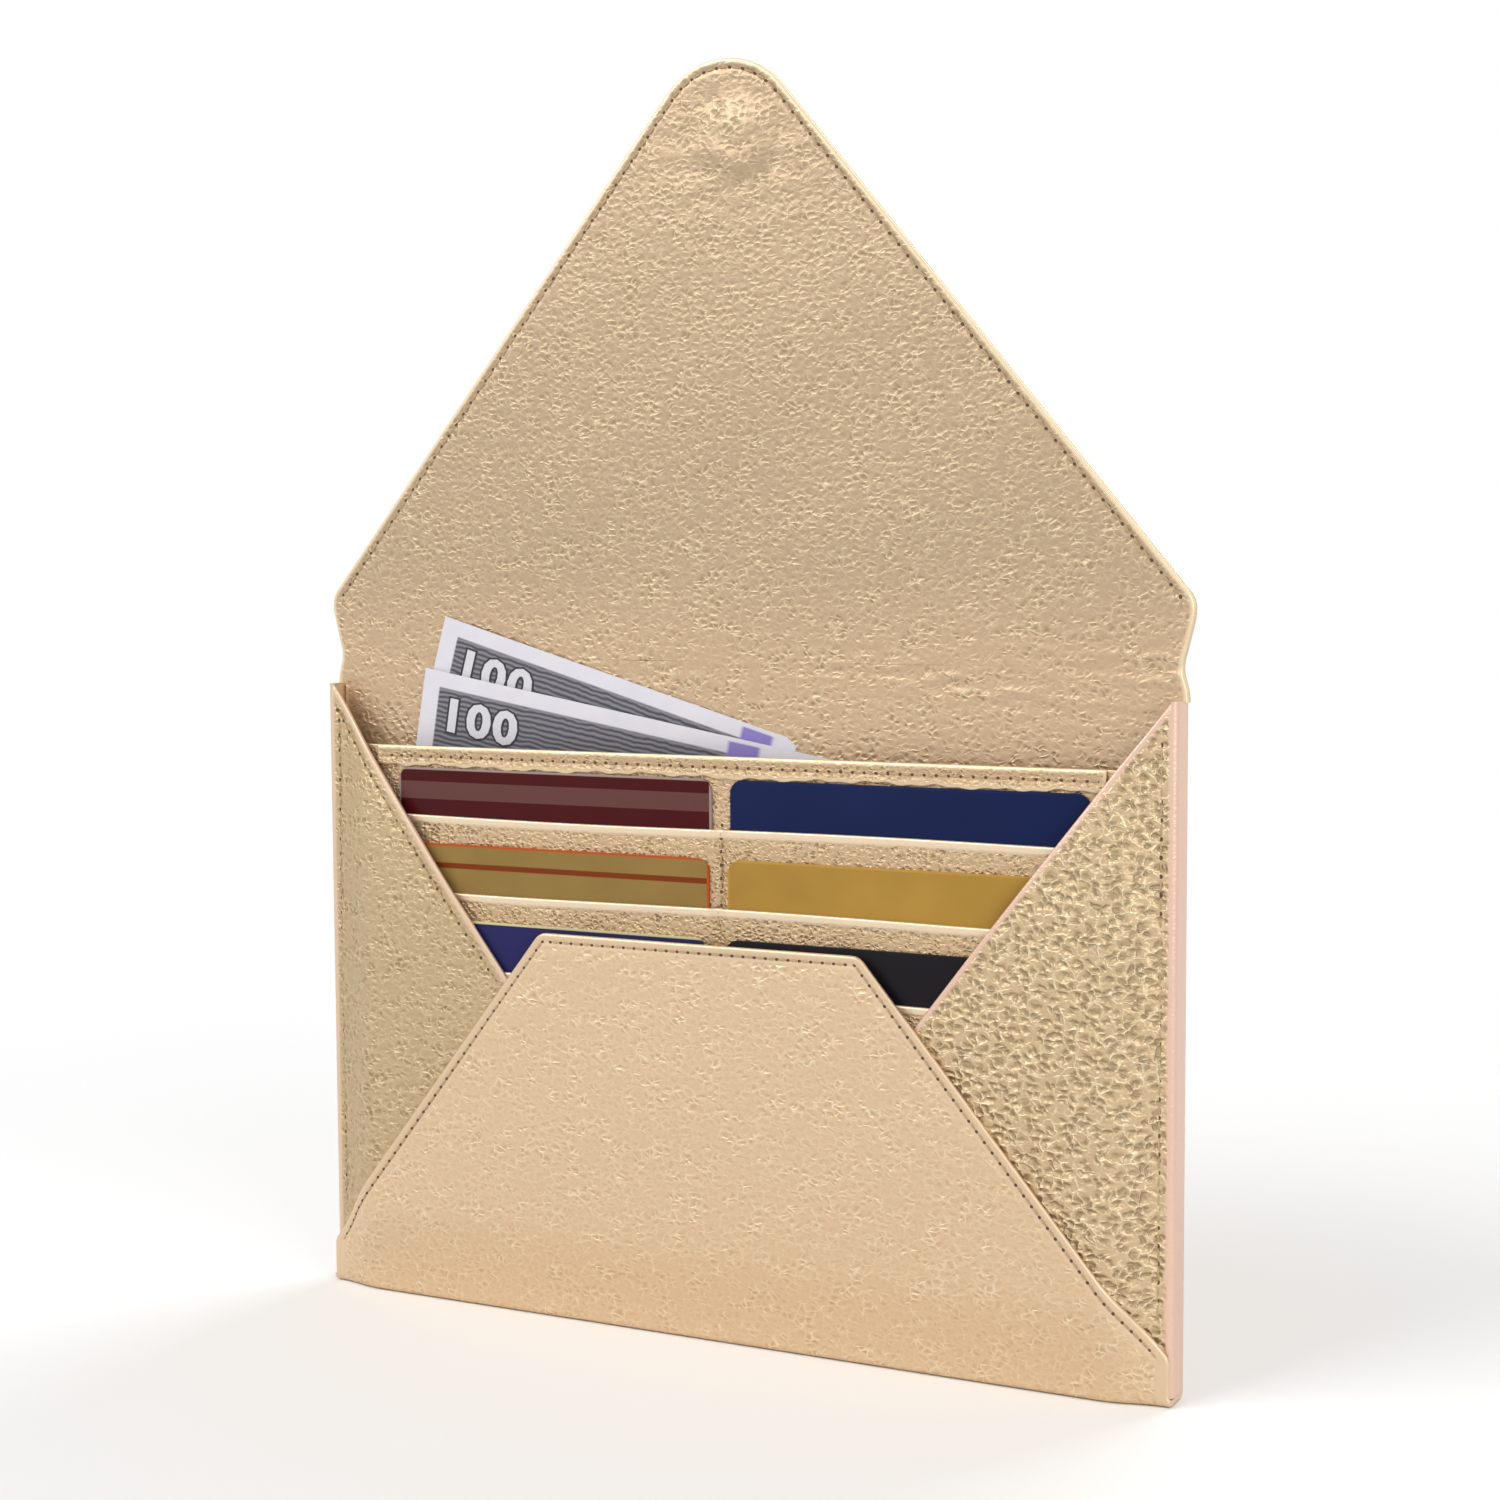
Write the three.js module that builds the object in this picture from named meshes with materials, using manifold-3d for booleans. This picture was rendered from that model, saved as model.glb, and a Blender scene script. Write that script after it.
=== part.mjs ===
// Envelope wallet in pebbled metallic leather, standing open on its bottom fold.
// Millimetres, +Z up, X across the width, the front faces -Y.
// Every piece is laid out in (x, depth, z): depth runs forward from the back face.
import * as THREE from 'three'
import { mergeVertices } from 'three/addons/utils/BufferGeometryUtils.js'
import Module from 'manifold-3d'

const wasm = await Module()
wasm.setup()

// Overall sizes
const width = 216
const body_height = 149
const seat_gap = 0.3
const slide_gap = 0.1

// Leather and content thicknesses
const outer_leather = 1.3
const lining_leather = 1.2
const side_leather = 1.2
const panel_leather = 0.6
const pocket_leather = 0.6
const card_thickness = 0.76
const note_thickness = 0.2

// Depths that the layers are spread over
const bill_space = 4.6
const bill_space_at_sides = 2.7
const side_slack = 0.6
const fold_inside = 0.15

// Where the front swells over the cards: a flat middle, a fall to the sides, top and foot
const swell_flat_margin = 1.2
const swell_foot_share = 0.45
const swell_below_magnet = 9.8
const swell_below_top = 54
const swell_top_share = 0.35

// Front flaps
const trapezoid_top = 92
const trapezoid_foot = 10.3
const trapezoid_top_width = 82
const trapezoid_shift = -2.5
const trapezoid_corner = 4
const trapezoid_side_inset = 0.4
const notch_x = 51.3
const notch_z = 77.4
const triangle_lap = 12

// Card slots
const panel_below_top = 14.8
const top_band_height = 4.9
const card_width = 85.6
const card_height = 54
const card_corner = 3.18
const card_below_panel_top = 5.2
const row_pitch = 18
const card_showing = 11.4
const seam_x = 1.5
const seam_half = 2.1
const slot_clearance = 0.3
const slot_rim = 2

// Notes
const note_width = 156
const note_height = 66.3
const front_note = { x: -81.5, above_panel: 18.6, turn: -9.9 }
const rear_note = { x: -76, above_panel: 31.1, turn: -16.3 }

// Flap and the strip that folds over the top edge
const strip_overhang = 0.6
const flap_overhang = 1.8
const flap_corner_above_body = 21
const flap_corner_radius = 6
const flap_slope = 50
const tip_radius = 19
const flap_front_gap = 0.4
const hinge_gap = 0.3

// Magnets
const magnet_diameter = 14
const magnet_thickness = 1.2
const magnet_from_tip = 18.5
const magnet_skin = 0.8
const front_magnet_gap = 0.4

// Places worked out from the sizes
const half_width = width / 2
const strip_half = half_width + strip_overhang
const flap_half = half_width + flap_overhang
const back_wall = outer_leather + lining_leather
const panel_back = back_wall + bill_space
const panel_side_back = back_wall + bill_space_at_sides
const panel_front = panel_back + panel_leather
const panel_top = body_height - panel_below_top
const first_card_top = panel_top - card_below_panel_top
const slot_reach = seam_half + card_width + 2 * slot_clearance
const slot_step = card_thickness + pocket_leather
const stack_front = panel_front + 3 * slot_step
const triangle_inner = stack_front + slide_gap
const fold_radius = outer_leather + fold_inside
const side_inner = panel_side_back + panel_leather + side_slack
const side_depth = side_inner + side_leather
const swell_flat_half = Math.abs(seam_x) + slot_reach + slot_rim + swell_flat_margin
const swell_side_half = half_width - fold_radius
const swell_top_start = body_height - swell_below_top
const trapezoid_outer = triangle_inner + side_leather + seat_gap + outer_leather
const wall_inner_half = half_width - side_leather - seat_gap
const floor_top = outer_leather + seat_gap
const overall_depth = trapezoid_outer
const hinge_depth = back_wall
const lower_hinge_z = body_height + hinge_gap / 2
const strip_length = overall_depth + flap_front_gap - hinge_depth
const upper_hinge_z = lower_hinge_z + strip_length
const flap_corner_z = body_height + flap_corner_above_body
const tip_meet_z = flap_corner_z + flap_half * Math.tan(THREE.MathUtils.degToRad(flap_slope))
const tip_z = tip_meet_z - tip_radius * (1 / Math.cos(THREE.MathUtils.degToRad(flap_slope)) - 1)
const flap_magnet_z = tip_z - magnet_from_tip
const front_magnet_z = lower_hinge_z - (flap_magnet_z - upper_hinge_z)
const swell_foot_top = front_magnet_z - magnet_diameter / 2 - swell_below_magnet

const gold = { color: 0xd3b68e, roughness: 0.42, metalness: 0.35 }
const gold_edge = { color: 0xe4c4ac, roughness: 0.5, metalness: 0.15 }
const magnet_steel = { color: 0x9a9a9c, roughness: 0.35, metalness: 1 }
const card_colours = [0x5a1a1c, 0x1c2c5c, 0x9a7d45, 0xb38b3c, 0x2c2a60, 0x1e1a20]
const paper = { color: 0xe0dce4, roughness: 0.85, metalness: 0 }

const wallet = new THREE.Group()
wallet.position.y = overall_depth / 2

// A named mesh with its own material
function addPiece(name, geometry, look) {
  const mesh = new THREE.Mesh(geometry, new THREE.MeshStandardMaterial(look))
  mesh.name = name
  wallet.add(mesh)
  return mesh
}

// Smooth step from 0 at a to 1 at b, whichever of the two is larger
function ease(a, b, value) {
  const t = THREE.MathUtils.clamp((value - a) / (b - a), 0, 1)
  return t * t * (3 - 2 * t)
}

function linear(from, to, steps) {
  return Array.from({ length: steps + 1 }, (_, i) => from + (to - from) * i / steps)
}

// Depth of the inner face of the side triangles: shallow at the side seams, full over the cards
function swell(x, z) {
  const across = ease(swell_side_half, swell_flat_half, Math.abs(x))
  const foot = swell_foot_share + (1 - swell_foot_share) * ease(fold_radius, swell_foot_top, z)
  const head = 1 - (1 - swell_top_share) * ease(swell_top_start, body_height, z)
  return side_inner + (triangle_inner - side_inner) * across * foot * head
}

// A closed sheet of leather: two grids of (x, depth, z) points, front faces out, joined round the rim
function sheetSolid(outer, inner) {
  const rows = outer.length
  const columns = outer[0].length
  const positions = [...outer.flat(), ...inner.flat()].flatMap(([x, depth, z]) => [x, -depth, z])
  const at = (side, i, j) => side * rows * columns + i * columns + j
  const index = []
  const quad = (a, b, c, d) => index.push(a, b, c, a, c, d)
  for (let i = 0; i + 1 < rows; i++) {
    for (let j = 0; j + 1 < columns; j++) {
      quad(at(0, i, j), at(0, i, j + 1), at(0, i + 1, j + 1), at(0, i + 1, j))
      quad(at(1, i, j), at(1, i + 1, j), at(1, i + 1, j + 1), at(1, i, j + 1))
    }
  }
  for (let j = 0; j + 1 < columns; j++) {
    quad(at(0, 0, j), at(1, 0, j), at(1, 0, j + 1), at(0, 0, j + 1))
    quad(at(0, rows - 1, j), at(0, rows - 1, j + 1), at(1, rows - 1, j + 1), at(1, rows - 1, j))
  }
  for (let i = 0; i + 1 < rows; i++) {
    quad(at(0, i, 0), at(0, i + 1, 0), at(1, i + 1, 0), at(1, i, 0))
    quad(at(0, i, columns - 1), at(1, i, columns - 1), at(1, i + 1, columns - 1), at(0, i + 1, columns - 1))
  }
  const geometry = new THREE.BufferGeometry()
  geometry.setAttribute('position', new THREE.Float32BufferAttribute(positions, 3))
  geometry.setIndex(index)
  geometry.computeVertexNormals()
  return geometry
}

// A block between two corners given in (x, depth, z)
function block(x0, x1, depth0, depth1, z0, z1) {
  const geometry = new THREE.BoxGeometry(x1 - x0, depth1 - depth0, z1 - z0)
  geometry.translate((x0 + x1) / 2, -(depth0 + depth1) / 2, (z0 + z1) / 2)
  return geometry
}

// A flat outline in (x, z) given a thickness that starts at a depth
function plate(shape, depth, thickness, segments = 6) {
  const geometry = new THREE.ExtrudeGeometry(shape, {
    depth: thickness, bevelEnabled: false, curveSegments: segments,
  })
  geometry.rotateX(Math.PI / 2)
  geometry.translate(0, -depth, 0)
  return geometry
}

function roundedCard(x0, z0, wide, high, radius) {
  const shape = new THREE.Shape()
  shape.moveTo(x0 + radius, z0)
  shape.lineTo(x0 + wide - radius, z0)
  shape.absarc(x0 + wide - radius, z0 + radius, radius, -Math.PI / 2, 0)
  shape.lineTo(x0 + wide, z0 + high - radius)
  shape.absarc(x0 + wide - radius, z0 + high - radius, radius, 0, Math.PI / 2)
  shape.lineTo(x0 + radius, z0 + high)
  shape.absarc(x0 + radius, z0 + high - radius, radius, Math.PI / 2, Math.PI)
  shape.lineTo(x0, z0 + radius)
  shape.absarc(x0 + radius, z0 + radius, radius, Math.PI, Math.PI * 1.5)
  return shape
}

function toManifold(geometry) {
  const bare = geometry.clone()
  bare.deleteAttribute('normal')
  bare.deleteAttribute('uv')
  const merged = mergeVertices(bare, 1e-4)
  return new wasm.Manifold(new wasm.Mesh({
    numProp: 3,
    vertProperties: new Float32Array(merged.attributes.position.array),
    triVerts: new Uint32Array(merged.index.array),
  }))
}

function toGeometry(solid) {
  const mesh = solid.getMesh()
  const geometry = new THREE.BufferGeometry()
  geometry.setAttribute('position', new THREE.BufferAttribute(new Float32Array(mesh.vertProperties), 3))
  geometry.setIndex(new THREE.BufferAttribute(new Uint32Array(mesh.triVerts), 1))
  geometry.computeVertexNormals()
  return geometry
}

function cut(geometry, ...tools) {
  return toGeometry(tools.reduce((solid, tool) => solid.subtract(toManifold(tool)), toManifold(geometry)))
}

// Half width of the trapezoid at its foot
const foot_x = half_width - trapezoid_side_inset

// How far the trapezoid's edge moves in for each millimetre up
function slantRun(side) {
  return (foot_x - trapezoid_top_width / 2 - side * trapezoid_shift) / (trapezoid_top - trapezoid_foot)
}

// Upright edge of the trapezoid at a height: vertical foot, slant, then the rounded top corner
function trapezoidEdge(side, z) {
  const run = slantRun(side)
  const slant_x = foot_x - Math.max(0, z - trapezoid_foot) * run
  const centre_z = trapezoid_top - trapezoid_corner
  const centre_x = foot_x - (centre_z - trapezoid_foot) * run - trapezoid_corner * Math.hypot(1, run)
  const tangent_z = centre_z + trapezoid_corner * run / Math.hypot(1, run)
  if (z <= tangent_z) return side * slant_x
  return side * (centre_x + Math.sqrt(Math.max(0, trapezoid_corner ** 2 - (z - centre_z) ** 2)))
}

// Heights of the rows that the shell and the side panels share, up to where both slants have left
// the fall to the sides
const fall_top = trapezoid_foot + (foot_x - swell_flat_half) / Math.min(slantRun(-1), slantRun(1))
const foot_breaks = [fold_radius + 2 * seat_gap, trapezoid_foot, swell_foot_top, fall_top].sort((a, b) => a - b)
const foot_rows = foot_breaks.slice(1).flatMap((z, i) => linear(foot_breaks[i], z, 5).slice(i > 0 ? 1 : 0))
const rows_above_foot = 3

// Back wall, bottom fold and front trapezoid: one sheet of leather folded up at the foot
function envelopeShell() {
  const lift = side_leather + seat_gap + outer_leather
  const front = (x, z) => swell(x, z) + lift
  const arc = linear(0, Math.PI / 2, 3)
  const inner_radius = fold_radius - outer_leather
  const stations = []
  for (const z of [body_height, fold_radius + seat_gap]) {
    stations.push({ half: wall_inner_half, outer: () => [0, z], inner: () => [outer_leather, z] })
  }
  for (const angle of arc) {
    const bend = (radius) => [fold_radius - radius * Math.cos(angle), fold_radius - radius * Math.sin(angle)]
    stations.push({ half: half_width, outer: () => bend(fold_radius), inner: () => bend(inner_radius) })
  }
  for (const angle of arc) {
    const bend = (x, radius) => [front(x, fold_radius) - fold_radius + radius * Math.sin(angle),
      fold_radius - radius * Math.cos(angle)]
    stations.push({ half: half_width, outer: (x) => bend(x, fold_radius), inner: (x) => bend(x, inner_radius) })
  }
  const corner_rows = linear(trapezoid_top - trapezoid_corner * 0.75, trapezoid_top, 4)
  const face_rows = linear(foot_rows.at(-1), corner_rows[0], rows_above_foot + 1).slice(1, -1)
  for (const z of [...foot_rows, ...face_rows, ...corner_rows]) {
    stations.push({
      left: trapezoidEdge(-1, z), right: trapezoidEdge(1, z),
      outer: (x) => [front(x, z), z], inner: (x) => [front(x, z) - outer_leather, z],
    })
  }
  const edge_columns = linear(0, (half_width - swell_flat_half) / width, 7)
  const mid_columns = linear(edge_columns.at(-1), 1 - edge_columns.at(-1), 9).slice(1, -1)
  const columns = [...edge_columns, ...mid_columns, ...edge_columns.map((t) => 1 - t).reverse()]
  const face = (key) => stations.map((station) => columns.map((t) => {
    const left = station.left ?? -station.half
    const right = station.right ?? station.half
    const x = left + (right - left) * t
    return [x, ...station[key](x)]
  }))
  return sheetSolid(face('outer'), face('inner'))
}

// Free edge of a side triangle at a height: the long edge above, a hidden lower edge under the trapezoid
function triangleEdge(side, z) {
  const tip_x = half_width - fold_radius
  const tip_z_here = body_height - seat_gap
  const long_edge = tip_x - (tip_z_here - z) * (tip_x - notch_x) / (tip_z_here - notch_z)
  const lower_edge = Math.abs(trapezoidEdge(side, z)) - triangle_lap
  return Math.min(Math.max(long_edge, lower_edge), tip_x - seat_gap)
}

// Side wall and front triangle: one sheet folded round the side
function sidePanel(side) {
  const rows = [...foot_rows, ...linear(foot_rows.at(-1), swell_top_start, 6).slice(1),
    ...linear(swell_top_start, body_height - seat_gap, 8).slice(1)]
  const inner_radius = fold_radius - side_leather
  const bend_x = half_width - fold_radius
  const bend_depth = side_depth - fold_radius
  const front_steps = linear(0, 1, 12)
  const face = (radius, offset) => rows.map((z) => {
    const wall_x = bend_x + radius
    const row = [[side * wall_x, 0, z]]
    for (const angle of linear(0, Math.PI / 2, 3)) {
      row.push([side * (bend_x + radius * Math.cos(angle)), bend_depth + radius * Math.sin(angle), z])
    }
    const end_x = triangleEdge(side, z)
    const near = Math.min(swell_flat_half, bend_x)
    for (const t of front_steps.slice(1)) {
      const reach = Math.max(end_x, near)
      const x = t <= 0.5 ? bend_x + (reach - bend_x) * t * 2 : reach + (end_x - reach) * (t * 2 - 1)
      const thin = end_x >= near ? bend_x + (end_x - bend_x) * t : x
      row.push([side * thin, swell(thin, z) + offset, z])
    }
    return side > 0 ? row : row.reverse()
  })
  return sheetSolid(flip(face(fold_radius, side_leather)), flip(face(inner_radius, 0)))
}

// Backing sheet of the card slots: flat behind the cards, falling back to the side seams
function cardPanel() {
  const fall = panel_back - panel_side_back
  const depth = (x) => panel_side_back + fall * ease(swell_side_half, swell_flat_half, Math.abs(x))
  const edge = linear(wall_inner_half, swell_flat_half, 7)
  const columns = [...edge.map((x) => -x), ...edge.slice().reverse()]
  const face = (offset) => [panel_top, floor_top].map((z) => columns.map((x) => [x, depth(x) + offset, z]))
  return sheetSolid(flip(face(panel_leather)), flip(face(0)))
}

function flip(grid) {
  return grid.slice().reverse()
}

// A pocket sheet with two slots: it is closed at the sides, the centre seam and the foot
function pocketRow(row) {
  const back = panel_front + row * slot_step
  const mouth = first_card_top - card_showing - row * row_pitch
  const foot = first_card_top - card_height - slot_clearance - row * row_pitch
  const sheet = block(seam_x - slot_reach - slot_rim, seam_x + slot_reach + slot_rim, back, back + slot_step,
    foot - slot_rim, mouth)
  const slot = (x0, x1) => block(x0, x1, back - seat_gap, back + card_thickness, foot, mouth + seat_gap)
  return cut(sheet, slot(seam_x - slot_reach, seam_x - seam_half),
    slot(seam_x + seam_half, seam_x + slot_reach))
}

function card(row, side) {
  const inner_x = seam_x + side * (seam_half + slot_clearance)
  const x0 = side > 0 ? inner_x : inner_x - card_width
  const top = first_card_top - row * row_pitch
  return plate(roundedCard(x0, top - card_height, card_width, card_height, card_corner),
    panel_front + row * slot_step, card_thickness, 4)
}

// A banknote-sized slip hung from its top left corner and turned in the pocket
function note(place, depth) {
  const turn = THREE.MathUtils.degToRad(place.turn)
  const corner = (along, down) => new THREE.Vector2(
    place.x + along * Math.cos(turn) + down * Math.sin(turn),
    panel_top + place.above_panel + along * Math.sin(turn) - down * Math.cos(turn))
  const shape = new THREE.Shape([corner(0, 0), corner(note_width, 0), corner(note_width, note_height),
    corner(0, note_height)])
  return plate(shape, depth, note_thickness)
}

// The flap: straight slanted edges, rounded corners and a round tip
function flapOutline() {
  const slope = THREE.MathUtils.degToRad(flap_slope)
  const foot = upper_hinge_z + hinge_gap / 2
  const shape = new THREE.Shape()
  const corner_cut = flap_corner_radius * Math.tan((Math.PI / 2 - slope) / 2)
  const corner_z = flap_corner_z - corner_cut
  const corner_x = flap_half - flap_corner_radius
  const tip_centre_z = tip_z - tip_radius
  shape.moveTo(-strip_half, foot)
  shape.lineTo(strip_half, foot)
  shape.lineTo(flap_half, corner_z)
  shape.absarc(corner_x, corner_z, flap_corner_radius, 0, Math.PI / 2 - slope)
  shape.absarc(0, tip_centre_z, tip_radius, Math.PI / 2 - slope, Math.PI / 2 + slope)
  shape.absarc(-corner_x, corner_z, flap_corner_radius, Math.PI / 2 + slope, Math.PI)
  shape.closePath()
  return shape
}

function disc(diameter, depth, thickness, z) {
  const geometry = new THREE.CylinderGeometry(diameter / 2, diameter / 2, thickness, 32)
  geometry.translate(0, -(depth + thickness / 2), z)
  return geometry
}

// Body
addPiece('envelope_shell', envelopeShell(), gold)
addPiece('back_lining', block(-wall_inner_half, wall_inner_half, outer_leather, back_wall,
  fold_radius + seat_gap, body_height), gold)
addPiece('side_panel_left', sidePanel(-1), gold_edge)
addPiece('side_panel_right', sidePanel(1), gold_edge)
addPiece('card_panel', cardPanel(), gold)
addPiece('panel_top_band', block(-swell_flat_half, swell_flat_half, panel_front, panel_front + pocket_leather,
  panel_top - top_band_height, panel_top), gold)
const row_names = ['top', 'middle', 'bottom']
row_names.forEach((name, row) => {
  addPiece(`pocket_${name}`, pocketRow(row), gold)
  addPiece(`card_${name}_left`, card(row, -1), { color: card_colours[2 * row], roughness: 0.35, metalness: 0 })
  addPiece(`card_${name}_right`, card(row, 1), { color: card_colours[2 * row + 1], roughness: 0.35, metalness: 0 })
})
addPiece('note_rear', note(rear_note, back_wall), paper)
addPiece('note_front', note(front_note, back_wall + note_thickness), paper)
const front_magnet_room = swell(0, front_magnet_z - magnet_diameter / 2) + side_leather + seat_gap
const front_magnet_depth = front_magnet_room - front_magnet_gap - magnet_thickness
addPiece('front_magnet', disc(magnet_diameter, front_magnet_depth, magnet_thickness, front_magnet_z), magnet_steel)

// Strip that folds over the top edge
const strip_z0 = lower_hinge_z + hinge_gap / 2
const strip_z1 = upper_hinge_z - hinge_gap / 2
addPiece('strip_outer', block(-strip_half, strip_half, 0, outer_leather, strip_z0, strip_z1), gold)
addPiece('strip_lining', block(-strip_half, strip_half, outer_leather, back_wall, strip_z0, strip_z1), gold)

// Flap, with its magnet let into both layers
const magnet_room = disc(magnet_diameter + 2 * slide_gap, magnet_skin - slide_gap, magnet_thickness + 2 * slide_gap,
  flap_magnet_z)
addPiece('flap_outer', cut(plate(flapOutline(), 0, outer_leather, 8), magnet_room), gold)
addPiece('flap_lining', cut(plate(flapOutline(), outer_leather, lining_leather, 8), magnet_room), gold)
addPiece('flap_magnet', disc(magnet_diameter, magnet_skin, magnet_thickness, flap_magnet_z), magnet_steel)

export default wallet
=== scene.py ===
import math

import bmesh
import bpy
import numpy as np
from mathutils import Matrix, Vector


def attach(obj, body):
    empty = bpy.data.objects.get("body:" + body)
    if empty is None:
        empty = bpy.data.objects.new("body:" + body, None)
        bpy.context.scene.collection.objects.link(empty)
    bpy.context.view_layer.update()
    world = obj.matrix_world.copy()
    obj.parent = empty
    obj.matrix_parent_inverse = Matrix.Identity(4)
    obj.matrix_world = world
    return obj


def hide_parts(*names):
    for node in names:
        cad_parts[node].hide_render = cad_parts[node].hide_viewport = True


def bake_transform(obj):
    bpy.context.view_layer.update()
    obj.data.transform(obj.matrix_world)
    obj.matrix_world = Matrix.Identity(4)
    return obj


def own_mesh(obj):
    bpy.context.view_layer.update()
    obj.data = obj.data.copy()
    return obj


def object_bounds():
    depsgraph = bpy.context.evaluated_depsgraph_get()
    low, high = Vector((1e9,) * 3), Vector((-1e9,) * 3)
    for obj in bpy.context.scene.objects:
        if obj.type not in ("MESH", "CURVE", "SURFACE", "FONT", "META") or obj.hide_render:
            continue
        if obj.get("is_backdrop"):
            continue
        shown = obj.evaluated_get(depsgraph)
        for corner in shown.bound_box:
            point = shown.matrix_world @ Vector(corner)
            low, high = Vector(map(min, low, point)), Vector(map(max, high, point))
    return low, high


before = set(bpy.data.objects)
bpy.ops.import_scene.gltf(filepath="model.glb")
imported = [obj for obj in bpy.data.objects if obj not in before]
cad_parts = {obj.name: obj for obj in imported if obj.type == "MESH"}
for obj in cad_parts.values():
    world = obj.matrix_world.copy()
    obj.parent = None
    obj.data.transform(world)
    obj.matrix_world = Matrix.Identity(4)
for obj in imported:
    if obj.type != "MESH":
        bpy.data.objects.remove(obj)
cad_low, cad_high = [list(corner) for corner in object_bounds()]


# Outer leather: back wall, bottom fold and front trapezoid
# One cow hide, drum-softened, boarded to a pebbled grain and covered with gold foil. It goes down the
# back, round the bottom and up the front, where its edges are turned under and sewn to the side panels.
half_width = 108.0
body_height = 149.0
mid_strip = 155.44
outer_leather = 1.3
fold_radius = 1.45
side_leather = 1.2
seat_gap = 0.3
side_inner = 6.4
triangle_inner = 11.88
swell_flat_half = 93.0
swell_side_half = half_width - fold_radius
swell_foot_share = 0.45
swell_foot_top = 22.0
swell_top_start = 95.0
swell_top_share = 0.35
trapezoid_top = 92.0
trapezoid_foot = 10.3
trapezoid_half = 41.0
trapezoid_shift = -2.5
trapezoid_corner = 4.0
trapezoid_foot_x = 107.6
wall_half = 106.5
strip_half = 108.6
edge_steps = np.array([0, 0.1, 0.25, 0.45, 0.7, 1.0, 1.35, 1.75, 2.2, 2.7, 3.3])


def ease(a, b, value):
    """Smooth step from 0 at a to 1 at b: t squared times three minus two t, with t held in 0 to 1."""
    t = np.clip((value - a) / (b - a), 0, 1)
    return t * t * (3 - 2 * t)


def swell(x, z):
    """Inner depth of the side triangles: shallow at the side seams, foot and top, full over the cards.
    It is the product of three smooth steps, across, up from the foot and down from the top."""
    across_share = ease(swell_side_half, swell_flat_half, np.abs(x))
    foot = swell_foot_share + (1 - swell_foot_share) * ease(fold_radius, swell_foot_top, z)
    head = 1 - (1 - swell_top_share) * ease(swell_top_start, body_height, z)
    return side_inner + (triangle_inner - side_inner) * across_share * foot * head


def slump(x, z, size, reach):
    """Gentle unevenness of soft leather in millimetres: four slow sine waves in different directions,
    none a multiple of another, scaled so that together they stay within size."""
    u, v = x / reach, z / reach
    waves = (np.sin(1.3 * u + 0.7 * v + 0.4) + np.sin(0.6 * u - 1.9 * v + 1.7)
             + np.sin(2.7 * u + 1.1 * v + 2.9) + np.sin(-1.7 * u + 3.1 * v + 5.1))
    return size * waves / 4


def across(left, right, middle):
    """Columns between two edges given row by row: close together for the first few millimetres, where
    the edge is rounded, and even between."""
    shrink = np.minimum(1, (right - left) / (4 * edge_steps[-1]))[:, None]
    near_left = left[:, None] + edge_steps * shrink
    near_right = right[:, None] - edge_steps[::-1] * shrink
    t = np.linspace(0, 1, middle + 2)[1:-1]
    between = near_left[:, -1:] + (near_right[:, :1] - near_left[:, -1:]) * t
    return np.concatenate([near_left, between, near_right], axis=1)


def at(x, depth, z):
    """Points in metres in the row frame from millimetres, where depth runs forward from the back."""
    x, depth, z = np.broadcast_arrays(x, depth, z)
    return np.stack([x / 1000, cad_high[1] - depth / 1000, z / 1000], axis=-1)


def put_in(name, data):
    """An object with this data, at the origin of the scene."""
    thing = bpy.data.objects.new(name, data)
    bpy.context.scene.collection.objects.link(thing)
    return thing


def add_mesh(name, points, faces, material, attributes=None, sharp=0.9):
    """A mesh object at the origin from a point array and face rows. Doubled points along closed rims
    are merged, and if its volume comes out negative all faces are turned round."""
    mesh = bpy.data.meshes.new(name)
    mesh.from_pydata(points.reshape(-1, 3).tolist(), [], faces)
    for key, values in (attributes or {}).items():
        kind, field = ("FLOAT", "value") if values.ndim == 1 else ("FLOAT_VECTOR", "vector")
        layer = mesh.attributes.new(key, kind, "POINT")
        layer.data.foreach_set(field, np.ascontiguousarray(values, dtype=np.float32).ravel())
    work = bmesh.new()
    work.from_mesh(mesh)
    bmesh.ops.remove_doubles(work, verts=work.verts, dist=1e-6)
    if work.calc_volume(signed=True) < 0:
        bmesh.ops.reverse_faces(work, faces=work.faces)
    work.to_mesh(mesh)
    work.free()
    mesh.shade_smooth()
    mesh.set_sharp_from_angle(angle=sharp)
    for one in material if isinstance(material, (list, tuple)) else [material]:
        mesh.materials.append(one)
    return put_in(name, mesh)


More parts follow.
